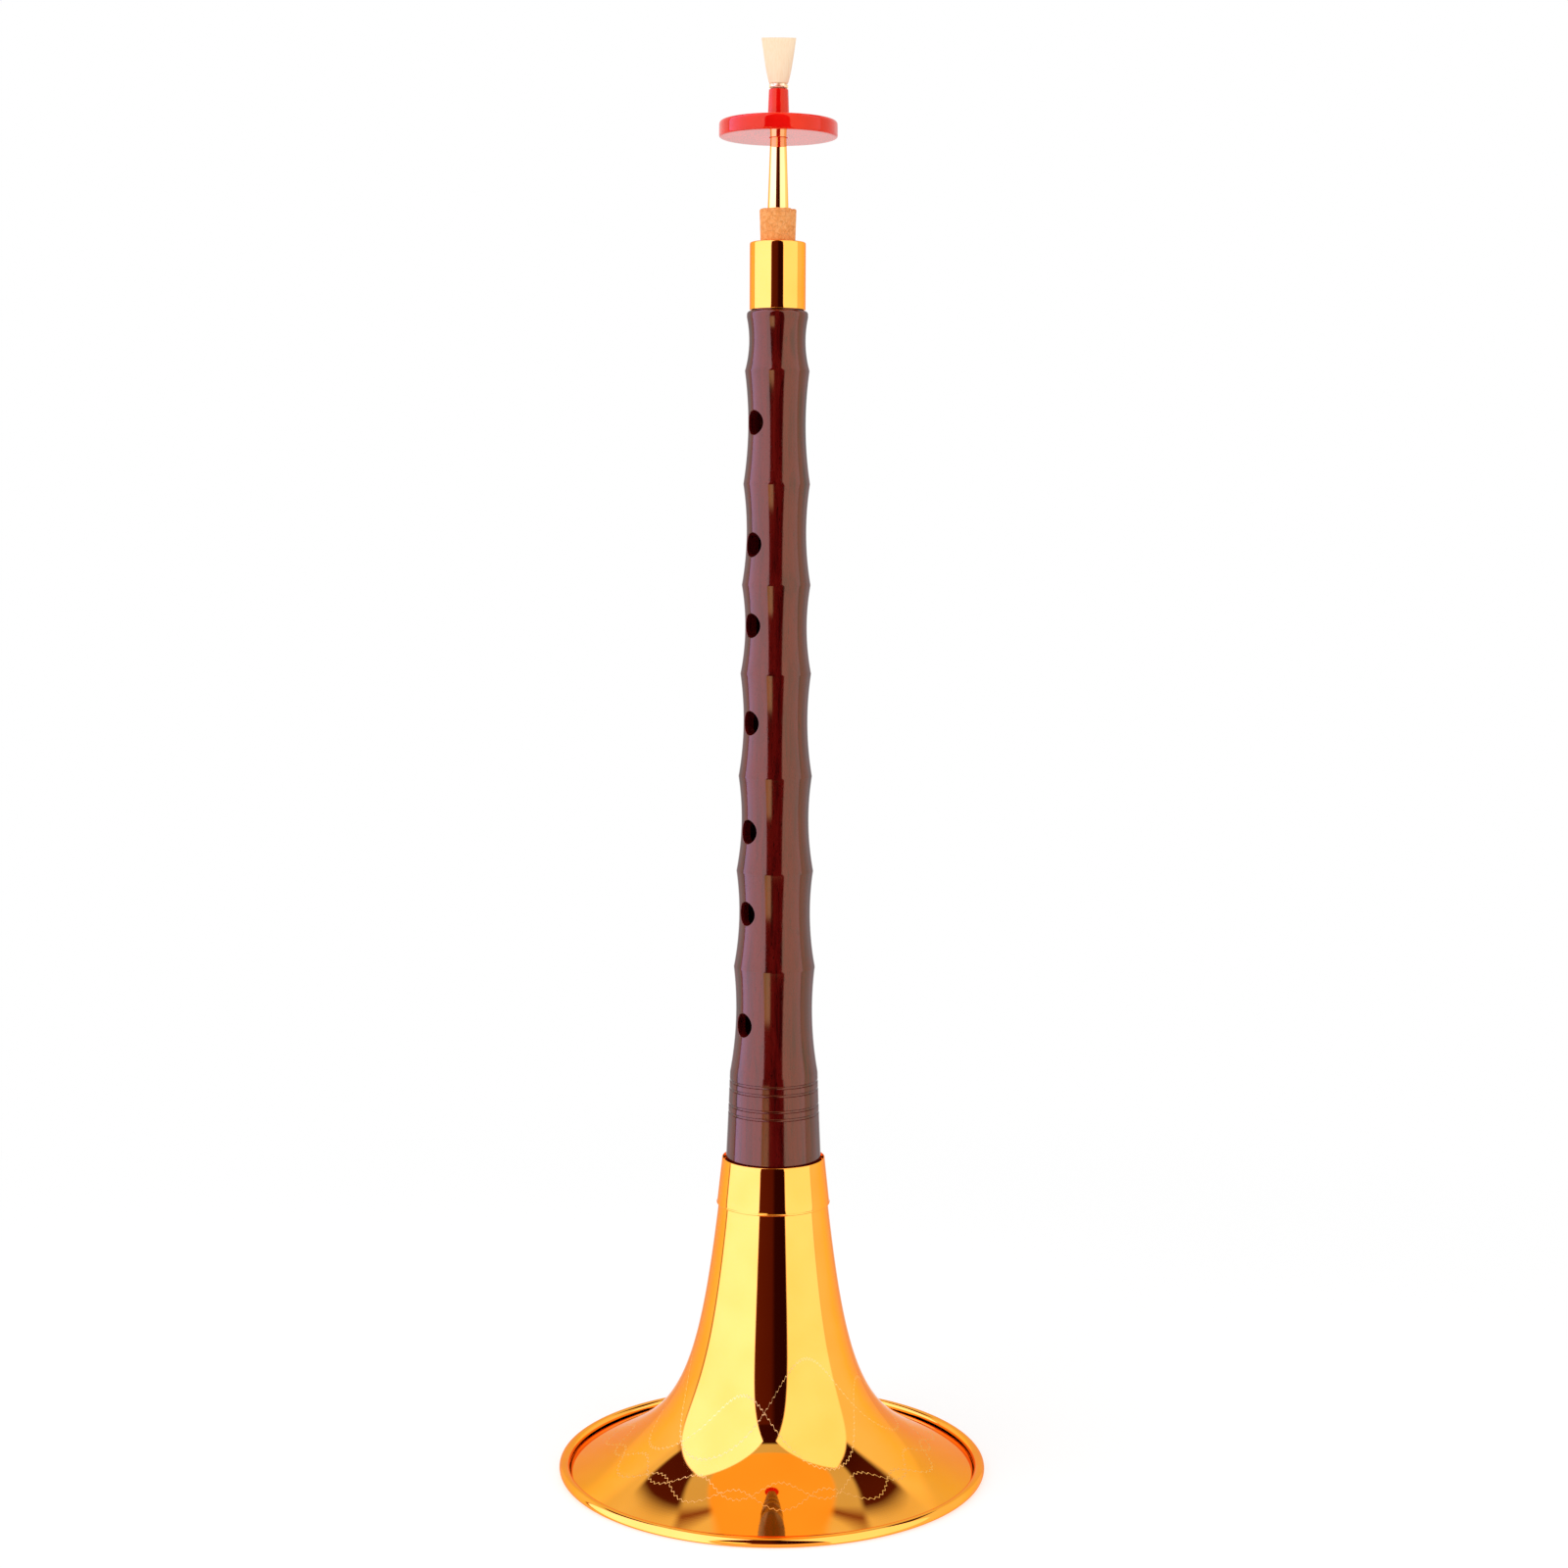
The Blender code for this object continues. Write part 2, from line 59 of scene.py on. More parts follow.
class Slot(Enum):
    """The material slots of the record that a piece can take its finish from."""

    BRASS = "brass"
    WIRE = "brass_wire"
    ROSEWOOD = "rosewood"
    CORK = "cork"
    PLASTIC = "red_plastic"
    CANE = "cane"


class Body(Enum):
    """The moving bodies of the instrument."""

    BELL = "bell"
    PIPE = "pipe"
    STAPLE = "staple"
    DISC = "disc"
    REED = "reed"


def linear(code: str, alpha: float = 1.0) -> tuple[float, float, float, float]:
    """Turn an sRGB hex colour into linear light.

    Args:
        code: The colour as #RRGGBB.
        alpha: The fourth value.

    Returns:
        Red, green, blue and alpha.
    """
    shares = [int(code[at : at + 2], 16) / 255 for at in (1, 3, 5)]
    red, green, blue = (s / 12.92 if s <= 0.04045 else ((s + 0.055) / 1.055) ** 2.4 for s in shares)
    return red, green, blue, alpha


def set_inputs(
    tree: bpy.types.NodeTree, node: bpy.types.Node, inputs: dict[int | str, object]
) -> None:
    """Give a node's inputs their values and links.

    Args:
        tree: The tree that holds the node.
        node: The node.
        inputs: A value or an output socket for each named or numbered input.
    """
    for name, value in inputs.items():
        if isinstance(value, bpy.types.NodeSocket):
            tree.links.new(value, node.inputs[name])
        else:
            node.inputs[name].default_value = value


def add_node(
    tree: bpy.types.NodeTree,
    kind: str,
    inputs: dict[int | str, object] | None = None,
    stops: Stops = (),
    **settings: object,
) -> bpy.types.Node:
    """Add one node with its settings, its input values and its links.

    Args:
        tree: The tree that gets the node.
        kind: The node's type, without its ShaderNode prefix.
        inputs: A value or an output socket for each named or numbered input.
        stops: Positions and hex colours, for a colour ramp.
        settings: Properties of the node.

    Returns:
        The new node.
    """
    node = tree.nodes.new("ShaderNode" + kind)
    for name, value in settings.items():
        setattr(node, name, value)
    for number, (position, code) in enumerate(stops):
        ramp = node.color_ramp.elements
        element = ramp[number] if number < 2 else ramp.new(position)
        element.position = position
        element.color = linear(code)
    set_inputs(tree, node, inputs or {})
    return node


def new_material(name: str) -> tuple[bpy.types.Material, bpy.types.NodeTree, bpy.types.Node]:
    """Make an empty material.

    Args:
        name: The finish in a maker's words.

    Returns:
        The material, its node tree and its Principled shader.
    """
    material = bpy.data.materials.new(name)
    material.use_nodes = True
    tree = material.node_tree
    return material, tree, tree.nodes["Principled BSDF"]


@dataclass(frozen=True)
class LacqueredBrass:
    """Sheet brass, spun or drawn, buffed to a mirror and dipped in clear lacquer.

    It shows saturated, sharp reflections, darker and redder where metal mirrors metal, and a weak white
    gloss from the lacquer. Fine buffing lines run round the piece, and long shallow waves from spinning
    bend the edges of reflections. Wriggled lines cut with a graver scatter the light, so they look pale
    on dark reflections and faint on bright ones.
    """

    name: str = "lacquered_polished_brass"
    colour: str = "#FBAB3C"
    deep_colour: str = "#F8A534"
    edge: str = "#FFB45A"
    roughness: float = 0.035
    # Real buffing lines are finer than a pixel, so they are drawn this coarse to show at all.
    buff_pitch: float = 0.35 * MM
    wave_length: float = 14 * MM
    cut_colour: str = "#F6BE66"
    cut_roughness: float = 0.42
    cut_width: float = 0.32 * MM
    wriggle: float = 0.32 * MM
    wriggles: int = 170
    scrolls: tuple[tuple[float, float, int, float], ...] = ()

    def engraving(
        self, tree: bpy.types.NodeTree, place: bpy.types.NodeSocket
    ) -> bpy.types.NodeSocket:
        """Draw the engraved lines on the UVs.

        A line is where V = middle + swing sin(waves 2 pi U + phase) + wriggle sin(wriggles 2 pi U), to
        within half the cut's width.

        Args:
            tree: The material's node tree.
            place: The UVs, U the share of a turn and V the length in metres.

        Returns:
            The mask's socket, 1 in a cut.
        """
        parts = add_node(tree, "SeparateXYZ", {0: place})
        shake = add_node(
            tree, "Math", {0: parts.outputs["X"], 1: 2 * pi * self.wriggles}, operation="MULTIPLY"
        )
        shake = add_node(tree, "Math", {0: shake.outputs[0]}, operation="SINE")
        level = add_node(
            tree,
            "Math",
            {0: shake.outputs[0], 1: -self.wriggle, 2: parts.outputs["Y"]},
            operation="MULTIPLY_ADD",
        )
        lines = []
        for middle, swing, waves, phase in self.scrolls:
            turned = add_node(
                tree, "Math", {0: parts.outputs["X"], 1: 2 * pi * waves, 2: phase}, operation="MULTIPLY_ADD"
            )
            turned = add_node(tree, "Math", {0: turned.outputs[0]}, operation="SINE")
            offset = add_node(
                tree,
                "Math",
                {0: turned.outputs[0], 1: -swing, 2: level.outputs[0]},
                operation="MULTIPLY_ADD",
            )
            line = add_node(
                tree, "Math", {0: offset.outputs[0], 1: middle, 2: self.cut_width / 2}, operation="COMPARE"
            )
            lines.append(line.outputs[0])
        return reduce(
            lambda one, other: add_node(tree, "Math", {0: one, 1: other}, operation="MAXIMUM").outputs[0],
            lines,
        )

    def make(self) -> bpy.types.Material:
        """Build the material."""
        material, tree, shader = new_material(self.name)
        place = add_node(tree, "TexCoord")
        waves = add_node(
            tree,
            "TexNoise",
            {"Vector": place.outputs["Object"], "Scale": 1 / self.wave_length, "Detail": 1.0},
        )
        lines = add_node(
            tree, "Mapping", {"Vector": place.outputs["UV"], "Scale": (3.0, 1 / self.buff_pitch, 1.0)}
        )
        buff = add_node(tree, "TexNoise", {"Vector": lines.outputs[0], "Scale": 1.0, "Detail": 3.0})
        tint = add_node(
            tree, "ValToRGB", {"Fac": waves.outputs["Fac"]}, ((0.3, self.deep_colour), (0.65, self.colour))
        )
        dull = add_node(
            tree,
            "MapRange",
            {
                "Value": buff.outputs["Fac"],
                "To Min": self.roughness * 0.7,
                "To Max": self.roughness * 1.4,
            },
        )
        colour, softness = tint.outputs["Color"], dull.outputs[0]
        if self.scrolls:
            cut = self.engraving(tree, place.outputs["UV"])
            bare = add_node(tree, "Mix", {0: cut, 6: colour, 7: linear(self.cut_colour)}, data_type="RGBA")
            scatter = add_node(tree, "Mix", {0: cut, 2: softness, 3: self.cut_roughness})
            colour, softness = bare.outputs[2], scatter.outputs[0]
        swell = add_node(
            tree, "Bump", {"Height": waves.outputs["Fac"], "Strength": 0.06, "Distance": 0.3 * MM}
        )
        fine = add_node(
            tree,
            "Bump",
            {
                "Height": buff.outputs["Fac"],
                "Normal": swell.outputs["Normal"],
                "Strength": 0.05,
                "Distance": 0.02 * MM,
            },
        )
        look = {
            "Base Color": colour,
            "Roughness": softness,
            "Normal": fine.outputs["Normal"],
            "Metallic": 1.0,
            "Specular Tint": linear(self.edge),
            "Coat Weight": 0.25,
            "Coat Roughness": 0.03,
        }
        set_inputs(tree, shader, look)
        return material


@dataclass(frozen=True)
class DrawnWire:
    """Bare brass wire, drawn through a die: a softer shine, with scratches along its length."""

    name: str = "drawn_brass_wire"
    colour: str = "#FFE2AC"
    tarnish: str = "#DDB070"
    mottle: float = 0.7 * MM

    def make(self) -> bpy.types.Material:
        """Build the material."""
        material, tree, shader = new_material(self.name)
        place = add_node(tree, "TexCoord")
        spots = add_node(
            tree, "TexNoise", {"Vector": place.outputs["Object"], "Scale": 1 / self.mottle, "Detail": 4.0}
        )
        tint = add_node(
            tree, "ValToRGB", {"Fac": spots.outputs["Fac"]}, ((0.3, self.tarnish), (0.55, self.colour))
        )
        dull = add_node(tree, "MapRange", {"Value": spots.outputs["Fac"], "To Min": 0.2, "To Max": 0.38})
        look = {"Base Color": tint.outputs["Color"], "Roughness": dull.outputs[0], "Metallic": 1.0}
        set_inputs(tree, shader, look)
        return material


@dataclass(frozen=True)
class GlossRosewood:
    """Rosewood, turned, sanded, stained dark red and sprayed with clear gloss lacquer.

    Long narrow streaks of darker and lighter heartwood run along the pipe, with pores as short dark
    dashes. The lacquer fills the pores, so the gloss on top stays nearly even. It weakens towards the
    outline, where the photo's wood stays dark red.
    """

    name: str = "gloss_lacquered_rosewood"
    dark: str = "#2E0304"
    heart: str = "#520606"
    light: str = "#5E0D0B"
    pore: str = "#1A0102"
    gloss_tint: str = "#FFC48A"
    streak_width: float = 1.5 * MM
    streak_length: float = 45 * MM
    pore_width: float = 0.22 * MM
    pore_length: float = 3.0 * MM

    def make(self) -> bpy.types.Material:
        """Build the material."""
        material, tree, shader = new_material(self.name)
        place = add_node(tree, "TexCoord")
        along = (1 / self.streak_width, 1 / self.streak_width, 1 / self.streak_length)
        streaks = add_node(tree, "Mapping", {"Vector": place.outputs["Object"], "Scale": along})
        grain = add_node(
            tree,
            "TexNoise",
            {"Vector": streaks.outputs[0], "Scale": 1.0, "Detail": 5.0, "Roughness": 0.6, "Distortion": 0.4},
        )
        heart = add_node(
            tree,
            "ValToRGB",
            {"Fac": grain.outputs["Fac"]},
            ((0.32, self.dark), (0.5, self.heart), (0.72, self.light)),
        )
        across = (1 / self.pore_width, 1 / self.pore_width, 1 / self.pore_length)
        dashes = add_node(tree, "Mapping", {"Vector": place.outputs["Object"], "Scale": across})
        pores = add_node(tree, "TexNoise", {"Vector": dashes.outputs[0], "Scale": 1.0, "Detail": 1.0})
        share = add_node(
            tree,
            "MapRange",
            {"Value": pores.outputs["Fac"], "From Min": 0.62, "From Max": 0.7, "To Max": 0.8},
        )
        wood = add_node(
            tree,
            "Mix",
            {0: share.outputs[0], 6: heart.outputs["Color"], 7: linear(self.pore)},
            data_type="RGBA",
        )
        sink = add_node(
            tree, "Bump", {"Height": share.outputs[0], "Strength": 0.12, "Distance": 0.02 * MM}, invert=True
        )
        view = add_node(tree, "LayerWeight", {"Blend": 0.5})
        level = add_node(
            tree,
            "MapRange",
            {
                "Value": view.outputs["Facing"],
                "From Min": 0.35,
                "From Max": 0.72,
                "To Min": 1.0,
                "To Max": 0.05,
            },
        )
        look = {
            "Base Color": wood.outputs[2],
            "Normal": sink.outputs["Normal"],
            "Specular IOR Level": level.outputs[0],
            "Roughness": 0.1,
            "Specular Tint": linear(self.gloss_tint),
        }
        set_inputs(tree, shader, look)
        return material


@dataclass(frozen=True)
class TurnedCork:
    """Natural cork, cut and sanded: matt tan granules with darker short cracks."""

    name: str = "sanded_natural_cork"
    dark: str = "#E08A3C"
    middle: str = "#F79F52"
    light: str = "#FFB66E"
    crack: str = "#B5662F"
    granule: float = 0.7 * MM

    def make(self) -> bpy.types.Material:
        """Build the material."""
        material, tree, shader = new_material(self.name)
        place = add_node(tree, "TexCoord")
        cells = add_node(tree, "TexVoronoi", {"Vector": place.outputs["Object"], "Scale": 1 / self.granule})
        spread = add_node(
            tree,
            "TexNoise",
            {"Vector": place.outputs["Object"], "Scale": 2.2 / self.granule, "Detail": 5.0},
        )
        mixed = add_node(
            tree, "Mix", {0: 0.65, 6: cells.outputs["Color"], 7: spread.outputs["Color"]}, data_type="RGBA"
        )
        tint = add_node(
            tree,
            "ValToRGB",
            {"Fac": mixed.outputs[2]},
            ((0.25, self.dark), (0.45, self.middle), (0.7, self.light)),
        )
        gaps = add_node(
            tree,
            "TexVoronoi",
            {"Vector": place.outputs["Object"], "Scale": 0.45 / self.granule},
            feature="DISTANCE_TO_EDGE",
        )
        edge = add_node(
            tree,
            "MapRange",
            {"Value": gaps.outputs["Distance"], "From Max": 0.06, "To Min": 0.4, "To Max": 0.0},
        )
        cork = add_node(
            tree,
            "Mix",
            {0: edge.outputs[0], 6: tint.outputs["Color"], 7: linear(self.crack)},
            data_type="RGBA",
        )
        rough = add_node(
            tree, "Bump", {"Height": spread.outputs["Fac"], "Strength": 0.5, "Distance": 0.15 * MM}
        )
        look = {"Base Color": cork.outputs[2], "Normal": rough.outputs["Normal"], "Roughness": 0.85}
        set_inputs(tree, shader, look)
        return material


@dataclass(frozen=True)
class MouldedPlastic:
    """Polystyrene, injection moulded in a polished mould: an even, glossy bright red."""

    name: str = "moulded_red_polystyrene"
    colour: str = "#F5140E"
    shade: str = "#DE0A08"
    gloss_tint: str = "#FFC878"
    flow: float = 9 * MM

    def make(self) -> bpy.types.Material:
        """Build the material."""
        material, tree, shader = new_material(self.name)
        place = add_node(tree, "TexCoord")
        swirl = add_node(
            tree, "TexNoise", {"Vector": place.outputs["Object"], "Scale": 1 / self.flow, "Detail": 2.0}
        )
        tint = add_node(
            tree, "ValToRGB", {"Fac": swirl.outputs["Fac"]}, ((0.3, self.shade), (0.65, self.colour))
        )
        ripple = add_node(
            tree, "Bump", {"Height": swirl.outputs["Fac"], "Strength": 0.04, "Distance": 0.2 * MM}
        )
        look = {
            "Base Color": tint.outputs["Color"],
            "Normal": ripple.outputs["Normal"],
            "Roughness": 0.03,
            "IOR": 1.55,
            "Specular Tint": linear(self.gloss_tint),
        }
        set_inputs(tree, shader, look)
        return material


@dataclass(frozen=True)
class ScrapedCane:
    """Reed cane, pressed flat and scraped thin: pale cream, matt, with fine fibres along it."""

    name: str = "scraped_reed_cane"
    pale: str = "#FFE6C4"
    warm: str = "#FCDDB4"
    # Real fibres are about 0.1 mm wide, which wouldn't show.
    fibre_width: float = 0.25 * MM
    fibre_length: float = 9 * MM

    def make(self) -> bpy.types.Material:
        """Build the material."""
        material, tree, shader = new_material(self.name)
        place = add_node(tree, "TexCoord")
        along = (1 / self.fibre_width, 1 / self.fibre_width, 1 / self.fibre_length)
        stretch = add_node(tree, "Mapping", {"Vector": place.outputs["Object"], "Scale": along})
        fibres = add_node(tree, "TexNoise", {"Vector": stretch.outputs[0], "Scale": 1.0, "Detail": 3.0})
        tint = add_node(
            tree, "ValToRGB", {"Fac": fibres.outputs["Fac"]}, ((0.3, self.warm), (0.6, self.pale))
        )
        ridges = add_node(
            tree, "Bump", {"Height": fibres.outputs["Fac"], "Strength": 0.08, "Distance": 0.03 * MM}
        )
        look = {
            "Base Color": tint.outputs["Color"],
            "Normal": ridges.outputs["Normal"],
            "Roughness": 0.6,
            "Specular IOR Level": 0.3,
        }
        set_inputs(tree, shader, look)
        return material


def grid_corners(rows: int, columns: int) -> tuple[np.ndarray, np.ndarray, np.ndarray]:
    """Number the quads of a grid that closes on itself both ways.

    Args:
        rows: Points along the outline.
        columns: Points round the axis.

    Returns:
        For each quad's four corners the vertex, the row and the column, the last two not wrapped round.
    """
    row, column = np.meshgrid(np.arange(rows), np.arange(columns), indexing="ij")
    corner_rows = row.reshape(-1, 1) + np.array([0, 1, 1, 0])
    corner_columns = column.reshape(-1, 1) + np.array([0, 0, 1, 1])
    vertices = (corner_rows % rows) * columns + corner_columns % columns
    return vertices, corner_rows, corner_columns


def make_piece(
    name: str,
    points: np.ndarray,
    faces: list[list[int]],
    uvs: np.ndarray,
    material: bpy.types.Material,
    body: Body,
    node: str,
    slot: Slot,
) -> bpy.types.Object:
    """Put a worked-out surface into the scene in place of a node.

    Args:
        name: The piece's name.
        points: Vertices in metres, one row each.
        faces: Vertex numbers of each face, seen from outside in anticlockwise order.
        uvs: One pair for each corner of each face.
        material: The finish.
        body: The body it rides on.
        node: The node that it stands for.
        slot: The record's material slot for its finish; not used.

    Returns:
        The piece.
    """
    mesh = bpy.data.meshes.new(name)
    mesh.from_pydata(points.reshape(-1, 3).tolist(), [], faces)
    layer = mesh.uv_layers.new(name="UVMap")
    layer.data.foreach_set("uv", np.asarray(uvs, dtype=np.float32).ravel())
    mesh.shade_smooth()
    mesh.set_sharp_from_angle(angle=radians(SHARP_ANGLE))
    mesh.materials.append(material)
    piece = bpy.data.objects.new(name, mesh)
    bpy.context.scene.collection.objects.link(piece)
    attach(piece, body.value)
    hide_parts(node)
    LOG.info("%s: %d points, %d faces, for %s", name, len(mesh.vertices), len(mesh.polygons), node)
    return piece


def arc(centre: tuple[float, float], radius: float, start: float, end: float, steps: int) -> np.ndarray:
    """Points on a circle: centre + radius times (cosine, sine) of angles spread evenly, ends included.

    Args:
        centre: Radius and height of the centre.
        radius: The circle's radius.
        start: First angle in degrees.
        end: Last angle in degrees.
        steps: Number of steps.

    Returns:
        One row of radius and height for each point.
    """
    angles = np.radians(np.linspace(start, end, steps + 1))
    return np.array(centre) + radius * np.stack([np.cos(angles), np.sin(angles)], axis=1)


def bezier(knots: tuple[tuple[float, float], ...], steps: int) -> np.ndarray:
    """A cubic curve: the four knots weighted by (1-t)^3, 3t(1-t)^2, 3t^2(1-t) and t^3.

    Args:
        knots: Start, its handle, the end's handle and end, as radius and height.
        steps: Number of steps.

    Returns:
        One row of radius and height for each point, without the first.
    """
    t = np.linspace(0.0, 1.0, steps + 1)[1:, None]
    weights = np.hstack([(1 - t) ** 3, 3 * t * (1 - t) ** 2, 3 * t**2 * (1 - t), t**3])
    return weights @ np.array(knots)


def straight(points: list[tuple[float, float]], step: float) -> np.ndarray:
    """Straight lines from point to point, divided so that no part is longer than a step.

    Args:
        points: Radius and height of the corners.
        step: The longest part.

    Returns:
        One row of radius and height for each point, both ends included.
    """
    corners = np.array(points, dtype=float)
    parts = [corners[:1]]
    for start, end in zip(corners, corners[1:]):
        count = max(1, int(np.ceil(np.linalg.norm(end - start) / step)))
        parts.append(start + (end - start) * np.linspace(0.0, 1.0, count + 1)[1:, None])
    return np.vstack(parts)


def rounded(points: list[tuple[float, float]], radii: list[float], step: float) -> np.ndarray:
    """A closed outline whose corners are eased.

    Each corner becomes the curve (1-t)^2 a + 2t(1-t) corner + t^2 b, where a and b lie on its two sides
    at the corner's radius from it.

    Args:
        points: Radius and height of the corners, down the outside and up the inside.
        radii: How far from each corner its rounding starts.
        step: The longest straight part.

    Returns:
        One row of radius and height for each point, the outline closing from last to first.
    """
    corners = np.array(points, dtype=float)
    t = np.linspace(0.0, 1.0, 6)[:, None]
    line = []
    for number, corner in enumerate(corners):
        before, after = corners[number - 1] - corner, corners[(number + 1) % len(corners)] - corner
        start = corner + before * min(0.45, radii[number] / np.linalg.norm(before))
        end = corner + after * min(0.45, radii[number] / np.linalg.norm(after))
        line.append((1 - t) ** 2 * start + 2 * t * (1 - t) * corner + t**2 * end)
    whole = [tuple(point) for point in np.vstack(line)]
    return straight([*whole, whole[0]], step)[:-1]


def sheet_outline(middle: np.ndarray, wall: float) -> np.ndarray:
    """A sheet's outline: its middle line moved half a wall along the normal to each side.

    Args:
        middle: Radius and height along the middle line, down the outer side.
        wall: The sheet's thickness.

    Returns:
        The closed outline, down the outside and up the inside.
    """
    heading = np.gradient(middle, axis=0)
    heading /= np.linalg.norm(heading, axis=1, keepdims=True)
    across = np.stack([-heading[:, 1], heading[:, 0]], axis=1) * wall / 2
    return np.vstack([middle + across, (middle - across)[::-1]])


def turn(outline: np.ndarray, columns: int) -> tuple[np.ndarray, list[list[int]], np.ndarray]:
    """Turn a closed outline round the axis: x = r cos a, y = r sin a, z = height.

    Args:
        outline: Radius and height, down the outside and up the inside.
        columns: Points round the axis.

    Returns:
        Points, faces and UVs, where U is the turn and V the length along the outline in metres.
    """
    angle = 2 * pi * np.arange(columns) / columns - pi / 2
    radius, height = outline[:, :1], outline[:, 1:]
    grid = (radius * np.cos(angle), radius * np.sin(angle), height + 0 * angle)
    vertices, corner_rows, corner_columns = grid_corners(len(outline), columns)
    steps = np.linalg.norm(np.roll(outline, -1, axis=0) - outline, axis=1)
    length = np.concatenate([[0.0], np.cumsum(steps)])
    uvs = np.stack([corner_columns / columns, length[corner_rows]], axis=-1)
    return np.stack(grid, axis=-1), vertices.tolist(), uvs


@dataclass(frozen=True)
class Bell:
    """The brass bell: flare with rolled rim, the wire inside it, and the collar over its neck."""

    rim_radius: float = 62.0 * MM
    wall: float = 0.4 * MM
    bead_radius: float = 1.5 * MM
    land: float = 0.08 * MM
    rim_slope: float = 24.0
    rim_reach: float = 34.0 * MM
    throat_slope: float = 6.6
    throat_reach: float = 60.0 * MM
    seam_height: float = 79.0 * MM
    seam_radius: float = 15.8 * MM
    neck_radius: float = 14.4 * MM
    neck_top: float = 91.3 * MM
    neck_straight: float = 3.5 * MM
    wire_radius: float = 0.8 * MM
    collar_top: float = 92.5 * MM
    collar_top_radius: float = 14.82 * MM
    collar_end_radius: float = 16.22 * MM
    collar_wall: float = 0.3 * MM
    collar_bead: float = 0.32 * MM
    columns: int = 256

    def middle_line(self) -> np.ndarray:
        """The sheet's middle line: straight neck, two cubic curves down to the rim, and the roll's arc."""
        half = self.wall / 2
        centre = (self.rim_radius - self.bead_radius, self.bead_radius - self.land)
        roll = arc(centre, self.bead_radius - half, -90 - self.rim_slope, 180.0, 60)
        neck = (self.neck_radius - half, self.neck_top - self.neck_straight)
        seam = (self.seam_radius - half, self.seam_height)
        slope, rise = radians(self.throat_slope), (neck[1] - seam[1]) / 3
        rim = radians(self.rim_slope)
        upper = (neck, (neck[0], neck[1] - rise), (seam[0] - rise * sin(slope), seam[1] + rise), seam)
        flare = (
            seam,
            (seam[0] + self.throat_reach * sin(slope), seam[1] - self.throat_reach * cos(slope)),
            (roll[0][0] - self.rim_reach * cos(rim), roll[0][1] + self.rim_reach * sin(rim)),
            tuple(roll[0]),
        )
        top = straight([(neck[0], self.neck_top), neck], 1.2 * MM)
        return np.vstack([top, bezier(upper, 10), bezier(flare, 110), roll[1:]])

    def build(
        self, engraved: bpy.types.Material, brass: bpy.types.Material, wire: bpy.types.Material
    ) -> None:
        """Make the three pieces.

        Args:
            engraved: Finish of the flare.
            brass: Finish of the collar.
            wire: Finish of the wire.
        """
        outline = sheet_outline(self.middle_line(), self.wall)
        outline[:, 1] = np.maximum(outline[:, 1], 0.0)
        spun = turn(outline, self.columns)
        make_piece("spun_bell", *spun, engraved, Body.BELL, "bell_flare", Slot.BRASS)

        centre = (self.rim_radius - self.bead_radius, self.bead_radius - self.land)
        ring = arc(centre, self.wire_radius, 90.0, -270.0, 16)[:-1]
        core = turn(ring, self.columns)
        make_piece("rim_core", *core, wire, Body.BELL, "rim_wire", Slot.WIRE)

        bead = (self.collar_end_radius - self.collar_bead / 2, self.seam_height + self.collar_bead)
        top, inner_top = self.collar_top_radius, self.collar_top_radius - self.collar_wall
        upper = (self.collar_end_radius, self.seam_height + 2 * self.collar_bead)
        edge = arc((top - 0.15 * MM, self.collar_top - 0.15 * MM), 0.15 * MM, 90.0, 5.0, 5)
        sleeve = np.vstack(
            [
                edge,
                straight([tuple(edge[-1]), upper], 1.0 * MM)[1:],
                arc(bead, self.collar_bead, 60.0, -90.0, 10),
                straight(
                    [
                        (self.collar_end_radius - self.collar_wall, self.seam_height),
                        (inner_top, self.collar_top),
                    ],
                    1.5 * MM,
                ),
            ]
        )
        collar = turn(sleeve, self.columns)
        make_piece("soldered_collar", *collar, brass, Body.BELL, "bell_collar", Slot.BRASS)


